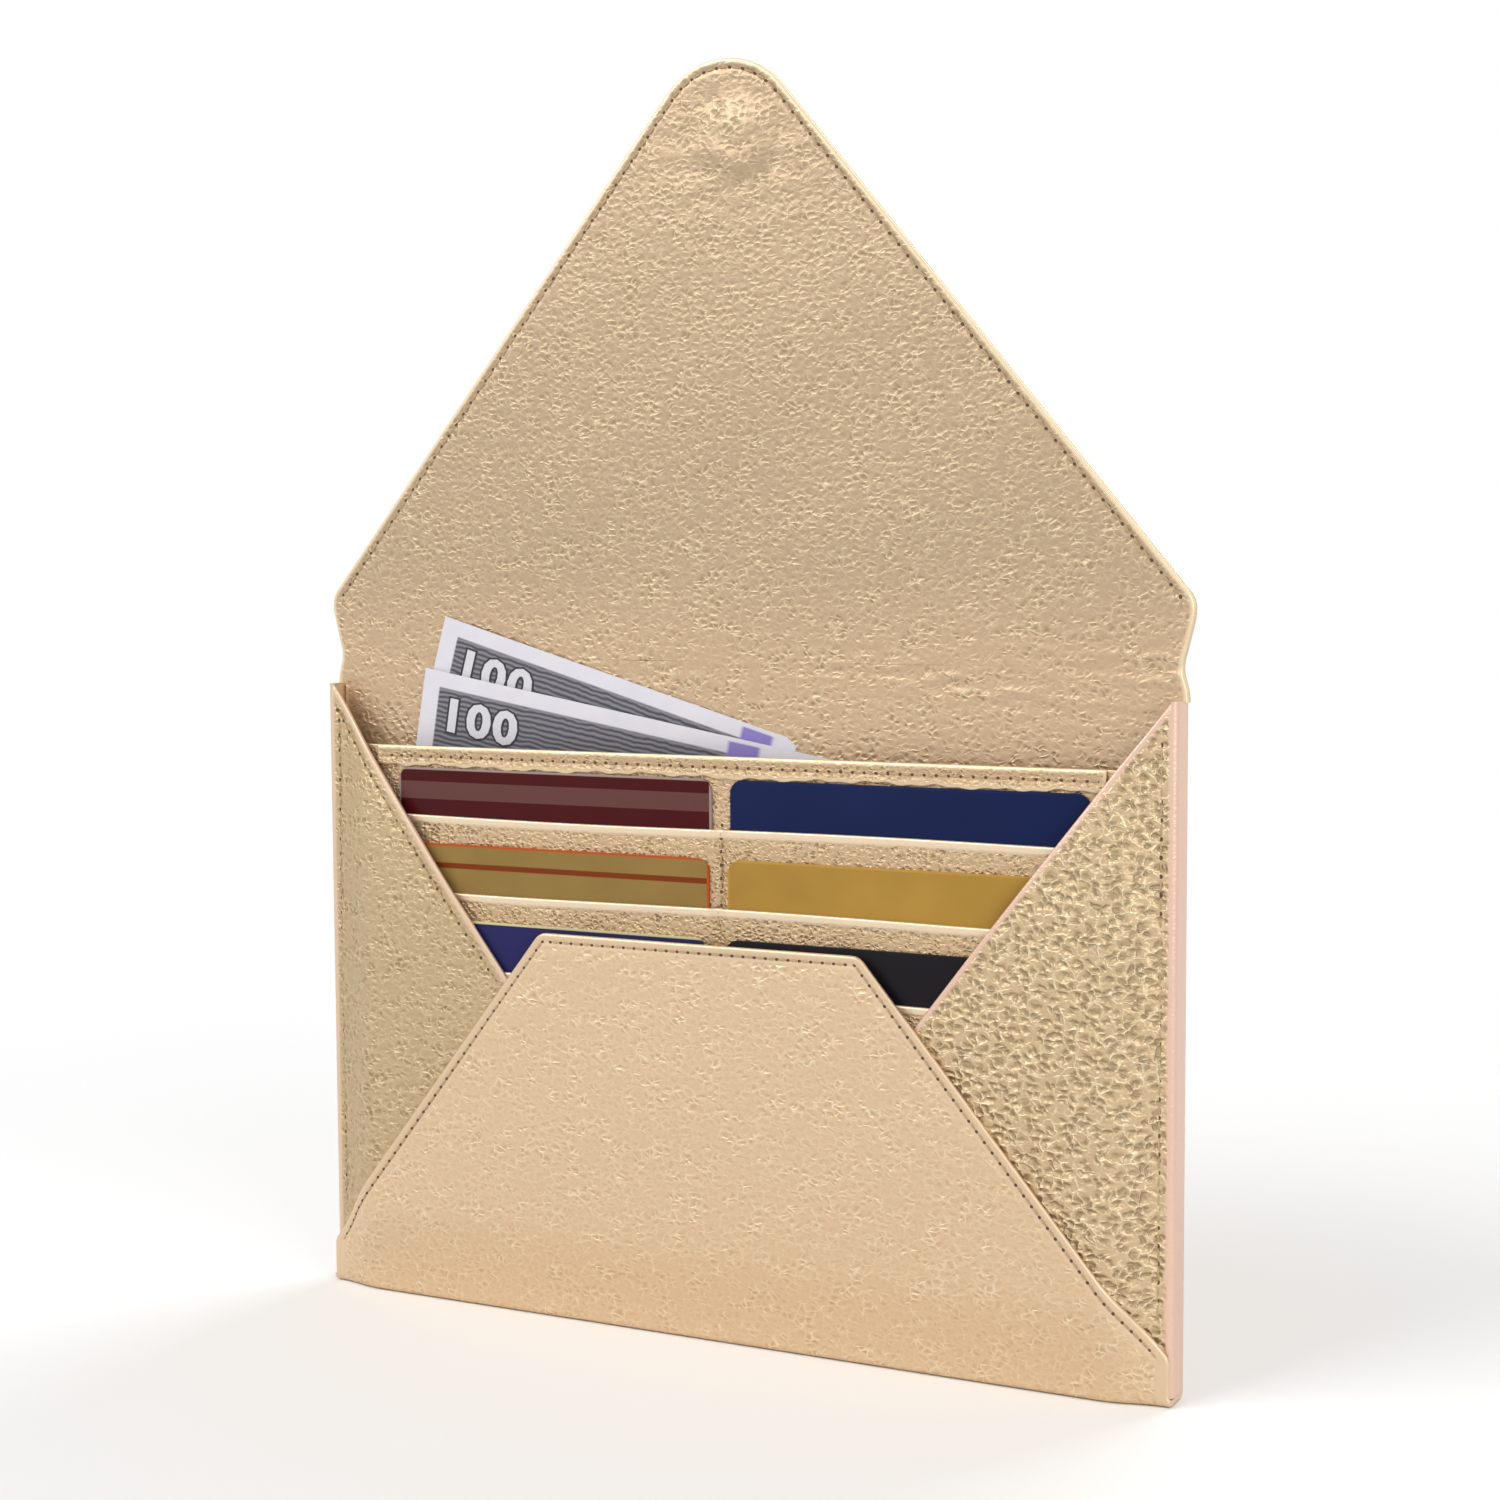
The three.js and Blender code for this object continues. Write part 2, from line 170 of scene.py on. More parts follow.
def hide_sheet(name, outer, inner, from_edge, round_over, material, relief=0.0):
    """A hide between an outer and an inner grid of points. Near an edge both faces close in on the
    middle of the thickness by a quarter circle of from_edge over round_over, so the edge is half
    round, and relief in millimetres is added to the outer face along the thickness. The place of each
    point in the hide laid flat is its path along the row, and the middle column's path up to the row."""
    middle = (outer + inner) / 2
    outward = outer - inner
    outward = outward / np.linalg.norm(outward, axis=-1, keepdims=True)
    from_edge = np.broadcast_to(from_edge, outer.shape[:2])
    lean = 1 - np.clip(from_edge / round_over, 0, 1)
    full = np.sqrt(1 - lean ** 2)[..., None]
    lift = np.broadcast_to(relief, from_edge.shape) * np.clip(from_edge / round_over, 0, 1) / 1000
    front = middle + (outer - middle) * full + outward * lift[..., None]
    back = middle + (inner - middle) * full
    rows, columns = from_edge.shape
    number = np.arange(rows * columns).reshape(rows, columns)
    quads = np.stack([number[:-1, :-1], number[:-1, 1:], number[1:, 1:], number[1:, :-1]], -1).reshape(-1, 4)
    rim = np.concatenate([number[0, :], number[1:, -1], number[-1, -2::-1], number[-2:0:-1, 0]])
    following = np.roll(rim, -1)
    other = rows * columns
    band = np.stack([rim, rim + other, following + other, following], -1)
    faces = np.concatenate([quads, quads[:, ::-1] + other, band]).tolist()
    points = np.concatenate([front.reshape(-1, 3), back.reshape(-1, 3)])
    distance = np.concatenate([from_edge.ravel(), from_edge.ravel()])
    steps = np.diff(outer[..., :2], axis=1)
    run = np.concatenate([np.zeros((rows, 1)), np.cumsum(np.hypot(steps[..., 0], steps[..., 1]), axis=1)], axis=1)
    run = outer[:, :1, 0] + np.sign(outer[0, -1, 0] - outer[0, 0, 0]) * run
    steps = np.diff(outer[:, columns // 2, 1:], axis=0)
    climb = np.concatenate([[0], np.cumsum(np.hypot(steps[:, 0], steps[:, 1]))])
    climb = outer[0, 0, 2] + np.sign(outer[-1, 0, 2] - outer[0, 0, 2]) * climb
    flat = np.stack([run, np.broadcast_to(climb[:, None], run.shape), 0 * run], -1).reshape(-1, 3)
    return add_mesh(name, points, faces, material, {"from_edge": distance, "laid_flat": np.concatenate([flat, flat])})


def trapezoid_run(side):
    """How far the slanted edge moves in for each millimetre up."""
    return (trapezoid_foot_x - trapezoid_half - side * trapezoid_shift) / (trapezoid_top - trapezoid_foot)


def trapezoid_centre(side):
    """Centre of the rounded top corner, where lines set in by its radius from both edges cross."""
    run = trapezoid_run(side)
    centre_z = trapezoid_top - trapezoid_corner
    reach = trapezoid_foot_x - (centre_z - trapezoid_foot) * run - trapezoid_corner * math.hypot(1, run)
    return reach, centre_z


def trapezoid_edge(side, z):
    """Upright edge of the trapezoid: straight foot, slant, then the quarter round of the top corner."""
    run = trapezoid_run(side)
    centre_x, centre_z = trapezoid_centre(side)
    slant = trapezoid_foot_x - np.maximum(0, z - trapezoid_foot) * run
    corner = centre_x + np.sqrt(np.maximum(0, trapezoid_corner ** 2 - (z - centre_z) ** 2))
    return side * np.where(z <= centre_z + trapezoid_corner * run / math.hypot(1, run), slant, corner)


def from_trapezoid_edge(x, z):
    """Distance to the nearest edge of the trapezoid: to the top, to the slant at right angles, to the
    upright foot, or in a corner the corner's radius less the distance to its centre."""
    nearest = np.full(np.broadcast(x, z).shape, 1e3)
    for side in (-1, 1):
        run = trapezoid_run(side)
        centre_x, centre_z = trapezoid_centre(side)
        here = side * x
        slant = (trapezoid_foot_x - (z - trapezoid_foot) * run - here) / math.hypot(1, run)
        own = np.minimum(np.minimum(slant, trapezoid_foot_x - here), trapezoid_top - z)
        u, v = here - centre_x, z - centre_z
        in_corner = (u > 0) & (v > u * run)
        own = np.where(in_corner, trapezoid_corner - np.hypot(u, v), own)
        nearest = np.minimum(nearest, own)
    return np.maximum(nearest, 0)


def linear_colour(code, share=1.0):
    """sRGB hex to linear red, green, blue and alpha, with the light dimmed or raised to a share."""
    parts = [int(code[i:i + 2], 16) / 255 for i in (1, 3, 5)]
    linear = [p / 12.92 if p <= 0.04045 else ((p + 0.055) / 1.055) ** 2.4 for p in parts]
    return [p * share for p in linear] + [1.0]


def add_node(tree, kind, inputs=None, **settings):
    """A shader node with its settings. An input is a value, a socket to link from, or another node,
    whose first output is linked."""
    node = tree.nodes.new("ShaderNode" + kind)
    for key, value in settings.items():
        setattr(node, key, value)
    for key, value in (inputs or {}).items():
        if isinstance(value, bpy.types.Node):
            value = value.outputs[0]
        if isinstance(value, bpy.types.NodeSocket):
            tree.links.new(value, node.inputs[key])
        else:
            node.inputs[key].default_value = value
    return node


def new_material(name):
    """An empty material and its node tree."""
    material = bpy.data.materials.new(name)
    material.use_nodes = True
    material.node_tree.nodes.clear()
    return material, material.node_tree


def foiled_leather(name, cell, grain_depth, pit_shade, face, ridge_highlight, border, border_width, roughness, wild=0.5,
                   lower_tone=None):
    """Gold-foiled pebbled leather. Shallow pits of the given size in millimetres, wider than tall, are
    darkened with painted shade, and broken ridges between them are lightened with painted highlights.
    Both come and go over a centimetre and over a few pits, more so where wild is large. Within
    border_width of a turned edge the leather is pulled smooth. The last argument is a lower and upper
    height in millimetres and a colour: the leather takes that colour below the lower height, and has its
    own colour above the upper one."""
    material, tree = new_material(name)
    where = add_node(tree, "Attribute", attribute_name="laid_flat").outputs["Vector"]
    edge = add_node(tree, "Attribute", attribute_name="from_edge").outputs["Fac"]
    flat = add_node(tree, "Mapping", {"Vector": where, "Scale": (1, 1.25, 1)})
    bend = add_node(tree, "TexNoise", {"Vector": flat, "Scale": 700 / cell, "Detail": 2.0})
    pull = add_node(tree, "VectorMath", {0: bend.outputs["Color"], 1: (0.5, 0.5, 0.5)}, operation="SUBTRACT")
    pull = add_node(tree, "VectorMath", {0: pull, "Scale": cell * 0.0016}, operation="SCALE")
    warped = add_node(tree, "VectorMath", {0: flat, 1: pull})
    pore_size, cloud_size = 0.9, 10.0
    fine = add_node(tree, "TexNoise", {"Vector": flat, "Scale": 1000 / pore_size, "Detail": 3.0})
    broad = add_node(tree, "TexNoise", {"Vector": flat, "Scale": 1000 / cloud_size, "Detail": 3.0})
    patches = add_node(tree, "TexNoise", {"Vector": warped, "Scale": 1000 / (2.2 * cell), "Detail": 1.0})
    marks = []
    for feature, far, near in (("F1", 0.52, 0.06), ("DISTANCE_TO_EDGE", 0.17, 0.01)):
        cells = add_node(tree, "TexVoronoi", {"Vector": warped, "Scale": 1000 / cell},
                         voronoi_dimensions="2D", feature=feature)
        marks.append(add_node(tree, "MapRange", {"Value": cells, "From Min": far, "From Max": near},
                              interpolation_type="SMOOTHSTEP"))
    hollow, crest = marks
    border_blur = 0.35
    inside = add_node(tree, "MapRange", {"Value": edge, "From Min": border_width - border_blur,
                                         "From Max": border_width + border_blur})
    share = add_node(tree, "MapRange", {"Value": broad, "From Min": 0.36, "From Max": 0.62, "To Min": 1 - wild})
    deep = add_node(tree, "MapRange", {"Value": patches, "From Min": 0.38, "From Max": 0.62,
                                       "To Min": 1 - 1.2 * wild})
    broken = add_node(tree, "MapRange", {"Value": bend, "From Min": 0.4, "From Max": 0.62, "To Min": 0.15})
    for limit in (inside, deep):
        share = add_node(tree, "Math", {0: share, 1: limit}, operation="MULTIPLY")
    pitted = add_node(tree, "Math", {0: hollow, 1: share}, operation="MULTIPLY")
    for limit in (share, broken):
        crest = add_node(tree, "Math", {0: crest, 1: limit}, operation="MULTIPLY")
    pores = add_node(tree, "Math", {0: fine, 1: 0.25}, operation="MULTIPLY")
    raised = add_node(tree, "Math", {0: crest, 1: 0.4}, operation="MULTIPLY")
    grain = add_node(tree, "Math", {0: pores, 1: pitted}, operation="SUBTRACT")
    grain = add_node(tree, "Math", {0: grain, 1: raised})
    bump = add_node(tree, "Bump", {"Height": grain, "Distance": grain_depth / 1000, "Strength": 1.0})
    # Painted shade darkens the pits and a painted highlight lightens the crests, in the colours given for them.
    dull = add_node(tree, "MapRange", {"Value": pitted, "From Min": 0.3, "From Max": 0.95})
    painted_light_and_tone = [(dull, pit_shade), (crest, ridge_highlight)]
    if lower_tone:
        low, high, lower_colour = lower_tone
        height = add_node(tree, "SeparateXYZ", {0: where}).outputs[1]
        near = add_node(tree, "MapRange", {"Value": height, "From Min": high / 1000, "From Max": low / 1000},
                        interpolation_type="SMOOTHSTEP")
        painted_light_and_tone.insert(0, (near, lower_colour))
    colour = add_node(tree, "Mix", {"Factor": fine, 6: linear_colour(face, 0.9), 7: linear_colour(face, 1.1)},
                      data_type="RGBA").outputs[2]
    for cover, tint in painted_light_and_tone:
        colour = add_node(tree, "Mix", {"Factor": cover, 6: colour, 7: linear_colour(tint)},
                          data_type="RGBA").outputs[2]
    colour = add_node(tree, "Mix", {"Factor": inside, 6: linear_colour(border), 7: colour},
                      data_type="RGBA").outputs[2]
    gloss = add_node(tree, "MapRange", {"Value": pitted, "To Min": roughness - 0.04, "To Max": roughness + 0.12})
    shader = add_node(tree, "BsdfPrincipled", {"Base Color": colour, "Roughness": gloss, "Metallic": 0.55,
                                               "Normal": bump})
    add_node(tree, "OutputMaterial", {"Surface": shader})
    return material


def flecked(name, fleck, dark, light, roughness, relief=0.0):
    """A dull material in two close shades, in flecks of the given size in millimetres. Relief is how far
    the flecks stand up, in metres."""
    material, tree = new_material(name)
    where = add_node(tree, "TexCoord").outputs["Object"]
    flecks = add_node(tree, "TexNoise", {"Vector": where, "Scale": 1000 / fleck})
    tint = add_node(tree, "Mix", {"Factor": flecks, 6: dark, 7: light}, data_type="RGBA").outputs[2]
    surface = {"Base Color": tint, "Roughness": roughness}
    if relief:
        surface["Normal"] = add_node(tree, "Bump", {"Height": flecks, "Distance": relief})
    add_node(tree, "OutputMaterial", {"Surface": add_node(tree, "BsdfPrincipled", surface)})
    return material


# Waxed polyester thread: dull ochre, with the light and dark of its twist. The needle holes are small
# dark brown plugs at the surface: partly the raw leather fibre's own colour and partly painted shade for the depth of
# the hole.
sewing = [flecked("waxed_polyester_thread", 0.25, linear_colour("#ae9067"), linear_colour("#cbb08a"), 0.55, 0.0001),
          flecked("needle_hole_raw_leather_and_painted_shade", 0.3, linear_colour("#4a3422"), linear_colour("#6f5236"), 0.8)]


def sew(name, path, outward, pitch, thread_width=0.5, share=0.62, hole_radius=0.34):
    """A row of saddle stitches along a path of points in metres. Each stitch is a short rod of six
    sides whose radius is the fourth root of one minus the fourth power of the way along it, arched so
    that both ends dive into the leather, with a dark hole between it and the next: a short dark plug
    whose top is partly the raw leather's brown and partly painted shade."""
    steps = np.linalg.norm(np.diff(path, axis=0), axis=1)
    length = np.concatenate([[0], np.cumsum(steps)])
    count = max(2, int(length[-1] * 1000 / pitch))
    middles = (np.arange(count) + 0.5) / count * length[-1]
    holes = np.arange(count + 1) / count * length[-1]
    outward = np.broadcast_to(outward, path.shape)

    def sample(values, distances):
        return np.stack([np.interp(distances, length, values[:, k]) for k in range(3)], axis=-1)

    def basis(distances):
        small = length[-1] / count / 4
        along = sample(path, distances + small) - sample(path, distances - small)
        along /= np.linalg.norm(along, axis=-1, keepdims=True)
        up = sample(outward, distances)
        sideways = np.cross(up, along)
        sideways /= np.linalg.norm(sideways, axis=-1, keepdims=True)
        return along[:, None], np.cross(along, sideways)[:, None], sideways[:, None]

    way = np.array([-1.0, -0.9, -0.55, 0, 0.55, 0.9, 1.0])
    thread_sides, hole_sides = 6, 8
    arch, dive = 0.00022, 0.00012
    hole_rim, hole_depth, hole_stretch = 0.00007, 0.0003, 1.25
    turn = np.arange(thread_sides) * math.pi / 3
    radius = thread_width / 2000 * (1 - 0.9 * way ** 4) ** 0.25
    half = share * length[-1] / count / 2
    swing = (radius[:, None] * np.cos(turn)).ravel()
    rise = (radius[:, None] * np.sin(turn)).ravel() + np.repeat(arch * (1 - way ** 2) - dive, thread_sides)
    along, up, sideways = basis(middles)
    threads = (sample(path, middles)[:, None] + along * (np.repeat(way, thread_sides) * half)[:, None]
               + up * rise[:, None] + sideways * swing[:, None])
    rings = np.arange(len(way) * thread_sides).reshape(len(way), thread_sides)
    following = np.roll(rings, -1, 1)
    sides = np.stack([rings[:-1], following[:-1], following[1:], rings[1:]], -1).reshape(-1, 4)
    faces = []
    for start in rings.size * np.arange(count):
        faces += (sides + start).tolist() + [(end + start).tolist() for end in (rings[0][::-1], rings[-1])]
    marks = [0] * len(faces)
    # Needle holes: short dark plugs whose tops stand at the surface, coloured partly as raw leather and partly as
    # painted shade.
    turn = np.arange(hole_sides) * math.pi / 4
    top = np.stack([np.cos(turn), np.sin(turn)], -1) * hole_radius / 1000
    disc = np.concatenate([top, top])
    level = np.repeat([hole_rim, -hole_depth], hole_sides)
    along, up, sideways = basis(holes)
    pits = (sample(path, holes)[:, None] + along * disc[:, :1] * hole_stretch + sideways * disc[:, 1:]
            + up * level[:, None])
    ring = np.arange(hole_sides)
    following = np.roll(ring, -1)
    wall = np.stack([ring, following, following + hole_sides, ring + hole_sides], -1)[:, ::-1]
    for start in rings.size * count + 2 * hole_sides * np.arange(count + 1):
        faces += (wall + start).tolist() + [(ring + start).tolist(), (ring[::-1] + hole_sides + start).tolist()]
    marks += [1] * (len(faces) - len(marks))
    mesh = bpy.data.meshes.new(name)
    mesh.from_pydata(np.concatenate([threads.reshape(-1, 3), pits.reshape(-1, 3)]).tolist(), [], faces)
    mesh.polygons.foreach_set("material_index", np.array(marks, dtype=np.int32))
    mesh.shade_smooth()
    mesh.set_sharp_from_angle(angle=0.9)
    for one in sewing:
        mesh.materials.append(one)
    work = bmesh.new()
    work.from_mesh(mesh)
    bmesh.ops.recalc_face_normals(work, faces=work.faces)
    work.to_mesh(mesh)
    work.free()
    return put_in(name, mesh)


def groove(from_edge, inset, width=0.55, sink=0.28):
    """The line that a row of stitches presses into the leather: a bell curve about its inset."""
    return -sink * np.exp(-((from_edge - inset) / width) ** 2)


def fold_wrinkles(x, z):
    """Flex wrinkles over the fold, in millimetres: long waves that wander up and down, strongest at the
    right, within a band that a bell curve limits."""
    wander = 1.8 * np.sin(x / 19 + 0.6) + 1.1 * np.sin(x / 7.3 + 2.1) + 0.5 * np.sin(x / 3.1)
    band = np.exp(-((z - 153.0) / 8.0) ** 2)
    share = 0.3 + 0.7 * ease(-30, 90, x)
    coming = 0.6 + 0.4 * np.sin(x / 11 + z / 2.3)
    return band * share * coming * (0.17 * np.sin((z + wander) / 0.8) + 0.09 * np.sin((z - wander) / 0.45 + x / 5))


def fold_half(z):
    """Half width of the fold over the top edge, drawn in a little at its middle."""
    return strip_half - 1.3 * np.exp(-((z - 155.5) / 4.0) ** 2)


# The main hide is soft and even: a low pebble with a satin shine, painted shade in its pits and painted highlights on
# its ridges, and wide smooth turned edges.
shell_leather = foiled_leather("gold_foiled_pebbled_leather", cell=2.1, grain_depth=0.18, pit_shade="#cdaf87",
                               face="#dabd99", ridge_highlight="#eedcbc", border="#dec3a2", border_width=3.0, roughness=0.42)
fold_start = 148.0
foot_rise = 3.0
front_lift = side_leather + seat_gap + outer_leather
back_z = np.concatenate([np.linspace(mid_strip, 140, 40), np.linspace(139, 4, 80), [3.2, 2.5]])
arc = np.linspace(0, math.pi / 2, 9)
up_z = np.concatenate([np.linspace(fold_radius + 0.4, trapezoid_top - 6, 66),
                       trapezoid_top - np.array([5.0, 4, 3.3, 2.7, 2.2, 1.75, 1.35, 1.0, 0.7, 0.45, 0.25, 0.1, 0])])
under = np.linspace(0, 1, 8)[1:-1]
back_half = np.where(back_z > fold_start, fold_half(back_z), wall_half)
back_half = np.where(back_z < foot_rise, half_width - 0.4, back_half)
fold_rows = len(arc) * 2 + len(under)
right = np.concatenate([back_half, np.full(fold_rows, half_width), trapezoid_edge(1, up_z)])
left = -np.concatenate([back_half, np.full(fold_rows, half_width), -trapezoid_edge(-1, up_z)])
x = across(left, right, 110)
outer_depth, outer_z = np.zeros_like(x), np.zeros_like(x)
inner_depth, inner_z = np.zeros_like(x), np.zeros_like(x)
b = len(back_z)
outer_depth[:b], outer_z[:b] = 0, back_z[:, None]
inner_depth[:b], inner_z[:b] = outer_leather, back_z[:, None]
inner_radius = fold_radius - outer_leather
for radius, depth_rows, z_rows in ((fold_radius, outer_depth, outer_z), (inner_radius, inner_depth, inner_z)):
    first = slice(b, b + len(arc))
    depth_rows[first] = (fold_radius - radius * np.cos(arc))[:, None]
    z_rows[first] = (fold_radius - radius * np.sin(arc))[:, None]
    flat = slice(b + len(arc), b + len(arc) + len(under))
    front_row = swell(x[flat], fold_radius) + front_lift
    depth_rows[flat] = fold_radius + (front_row - 2 * fold_radius) * under[:, None]
    z_rows[flat] = fold_radius - radius
    last = slice(flat.stop, flat.stop + len(arc))
    front_row = swell(x[last], fold_radius) + front_lift
    depth_rows[last] = front_row - fold_radius + radius * np.sin(arc)[:, None]
    z_rows[last] = (fold_radius - radius * np.cos(arc))[:, None]
f = b + fold_rows
outer_depth[f:] = swell(x[f:], up_z[:, None]) + front_lift
inner_depth[f:] = outer_depth[f:] - outer_leather
outer_z[f:] = inner_z[f:] = up_z[:, None]
from_edge = np.minimum(x - left[:, None], right[:, None] - x)
from_edge[f:] = from_trapezoid_edge(x[f:], outer_z[f:])
front_part = np.zeros_like(x)
front_part[f:] = 1
stitch_inset = 2.0
crease_inset = 3.4
relief = groove(from_edge, stitch_inset) * front_part * ease(8, 14, outer_z)
relief += groove(from_edge, crease_inset, width=0.35, sink=0.12) * front_part * ease(4, 12, outer_z)
relief += slump(x, outer_z + 40 * front_part, size=0.22, reach=21) * ease(6, 20, outer_z) * ease(0, 6, from_edge)
relief += fold_wrinkles(x, outer_z) * 0.6 * (1 - front_part)
shell = hide_sheet("outer_leather_shell", at(x, outer_depth, outer_z), at(x, inner_depth, inner_z), from_edge,
                   round_over=0.6, material=shell_leather, relief=relief)
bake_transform(shell)
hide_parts("envelope_shell", "strip_outer")

# The trapezoid's seam, in a row up each slant and one along the top.
stitch_pitch = 2.75
thread_sink = 0.2
front_out = np.array([0, -1.0, 0])
seam_z = np.linspace(10, trapezoid_top - stitch_inset, 120)
slant_x = {side: side * (trapezoid_foot_x - (seam_z - trapezoid_foot) * trapezoid_run(side)
                         - stitch_inset * math.hypot(1, trapezoid_run(side))) for side in (-1, 1)}
for side, label in ((-1, "left"), (1, "right")):
    keep = np.abs(slant_x[side]) < swell_side_half
    line_x, line_z = slant_x[side][keep], seam_z[keep]
    path = at(line_x, swell(line_x, line_z) + front_lift - thread_sink, line_z)
    seam = sew(f"trapezoid_stitches_{label}", path, front_out, stitch_pitch)
    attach(seam, "wallet_body")
line_x = np.linspace(slant_x[-1][-1] + 2.2, slant_x[1][-1] - 2.2, 60)
path = at(line_x, triangle_inner + front_lift - thread_sink, trapezoid_top - stitch_inset)
seam = sew("trapezoid_stitches_top", path, front_out, stitch_pitch)
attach(seam, "wallet_body")


# Lining of the back wall and fold
# A slightly thinner piece of the same foiled leather, pasted to the outer leather. It shows behind the
# notes and is creased by flexing where the flap folds over.
lining_leather = 1.2
back_wall = outer_leather + lining_leather
lining_start = 60.0
# The lining has a low pebble, darker than the outside, with painted shade in its pits and painted highlights on its
# ridges; below 150 mm up it is paler, fading to its own colour by 182 mm.
lining_face = foiled_leather("gold_foiled_lining_leather", cell=2.0, grain_depth=0.18, pit_shade="#a38c6b",
                             face="#b69e80", ridge_highlight="#dcc8a3", border="#e9d3b0", border_width=0.9, roughness=0.43,
                             lower_tone=(150, 182, "#c6aa8a"))
lining_z = np.concatenate([np.linspace(mid_strip, 142, 46), np.linspace(141, fold_radius + 0.4, 70)])
half = np.where(lining_z > fold_start, fold_half(lining_z), wall_half)
x = across(-half, half, 120)
z = lining_z[:, None]
from_edge = half[:, None] - np.abs(x)
relief = fold_wrinkles(x, z) * 0.8 + slump(x, z, size=0.15, reach=17) * ease(60, 110, z) * ease(0, 6, from_edge)
lining = hide_sheet("back_wall_lining", at(x, back_wall, z), at(x, outer_leather + 0.02, z), from_edge,
                    round_over=0.5, material=lining_face, relief=np.where(z > lining_start, relief, 0))
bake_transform(lining)
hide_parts("back_lining", "strip_lining")


# Side panels
# One sheet a side makes the narrow side wall and the front triangle. The wall is drawn smooth over its
# board, and a seam runs beside it. The left triangle's long edge is turned under and sewn, the right
# one's is turned under and pasted.
panel_side_back = 5.2
side_depth = side_inner + side_leather
notch_x, notch_z = 51.3, 77.4
triangle_lap = 12.0
bend_x = half_width - fold_radius
triangle_top = body_height - seat_gap
triangle_run = (bend_x - notch_x) / (triangle_top - notch_z)
rim_width = 0.85
side_seam = 1.9
triangle_seam = 3.0
far_inside = 30.0
# The left sheet is cut from a soft part of the hide: an even, low pebble, with painted shade in its pits and painted
# highlights on its ridges. The right one is from a
# coarser part: round pebbles with painted shade in the hollows and painted highlights on the ridges, which glitter
# more.
side_leathers = {
    -1: foiled_leather("gold_foiled_side_leather_left", cell=2.1, grain_depth=0.32, pit_shade="#a28a62", face="#bea680",
                       ridge_highlight="#dfcba4", border="#dfc2a6", border_width=1.3, roughness=0.44),
    1: foiled_leather("gold_foiled_coarse_side_leather", cell=2.5, grain_depth=0.5, pit_shade="#a8926d", face="#cab08a",
                      ridge_highlight="#ebd8b2", border="#e6c2ac", border_width=1.3, roughness=0.38, wild=0.12),
}
panel_z = np.concatenate([np.linspace(fold_radius + 0.08, 70, 46), np.linspace(71, 84, 14),
                          np.linspace(85, triangle_top - 0.4, 50), triangle_top - np.array([0.3, 0.15, 0])])
z = panel_z[:, None]
bend_angles = np.linspace(0, math.pi / 2, 9)
wall_depths = np.array([0, 0.1, 0.3, 0.6, 1.2, 2.0, 3.0, 4.2, side_depth - fold_radius - 0.3])
face_start = len(wall_depths) + len(bend_angles)
long_edge = bend_x - (triangle_top - panel_z) * triangle_run
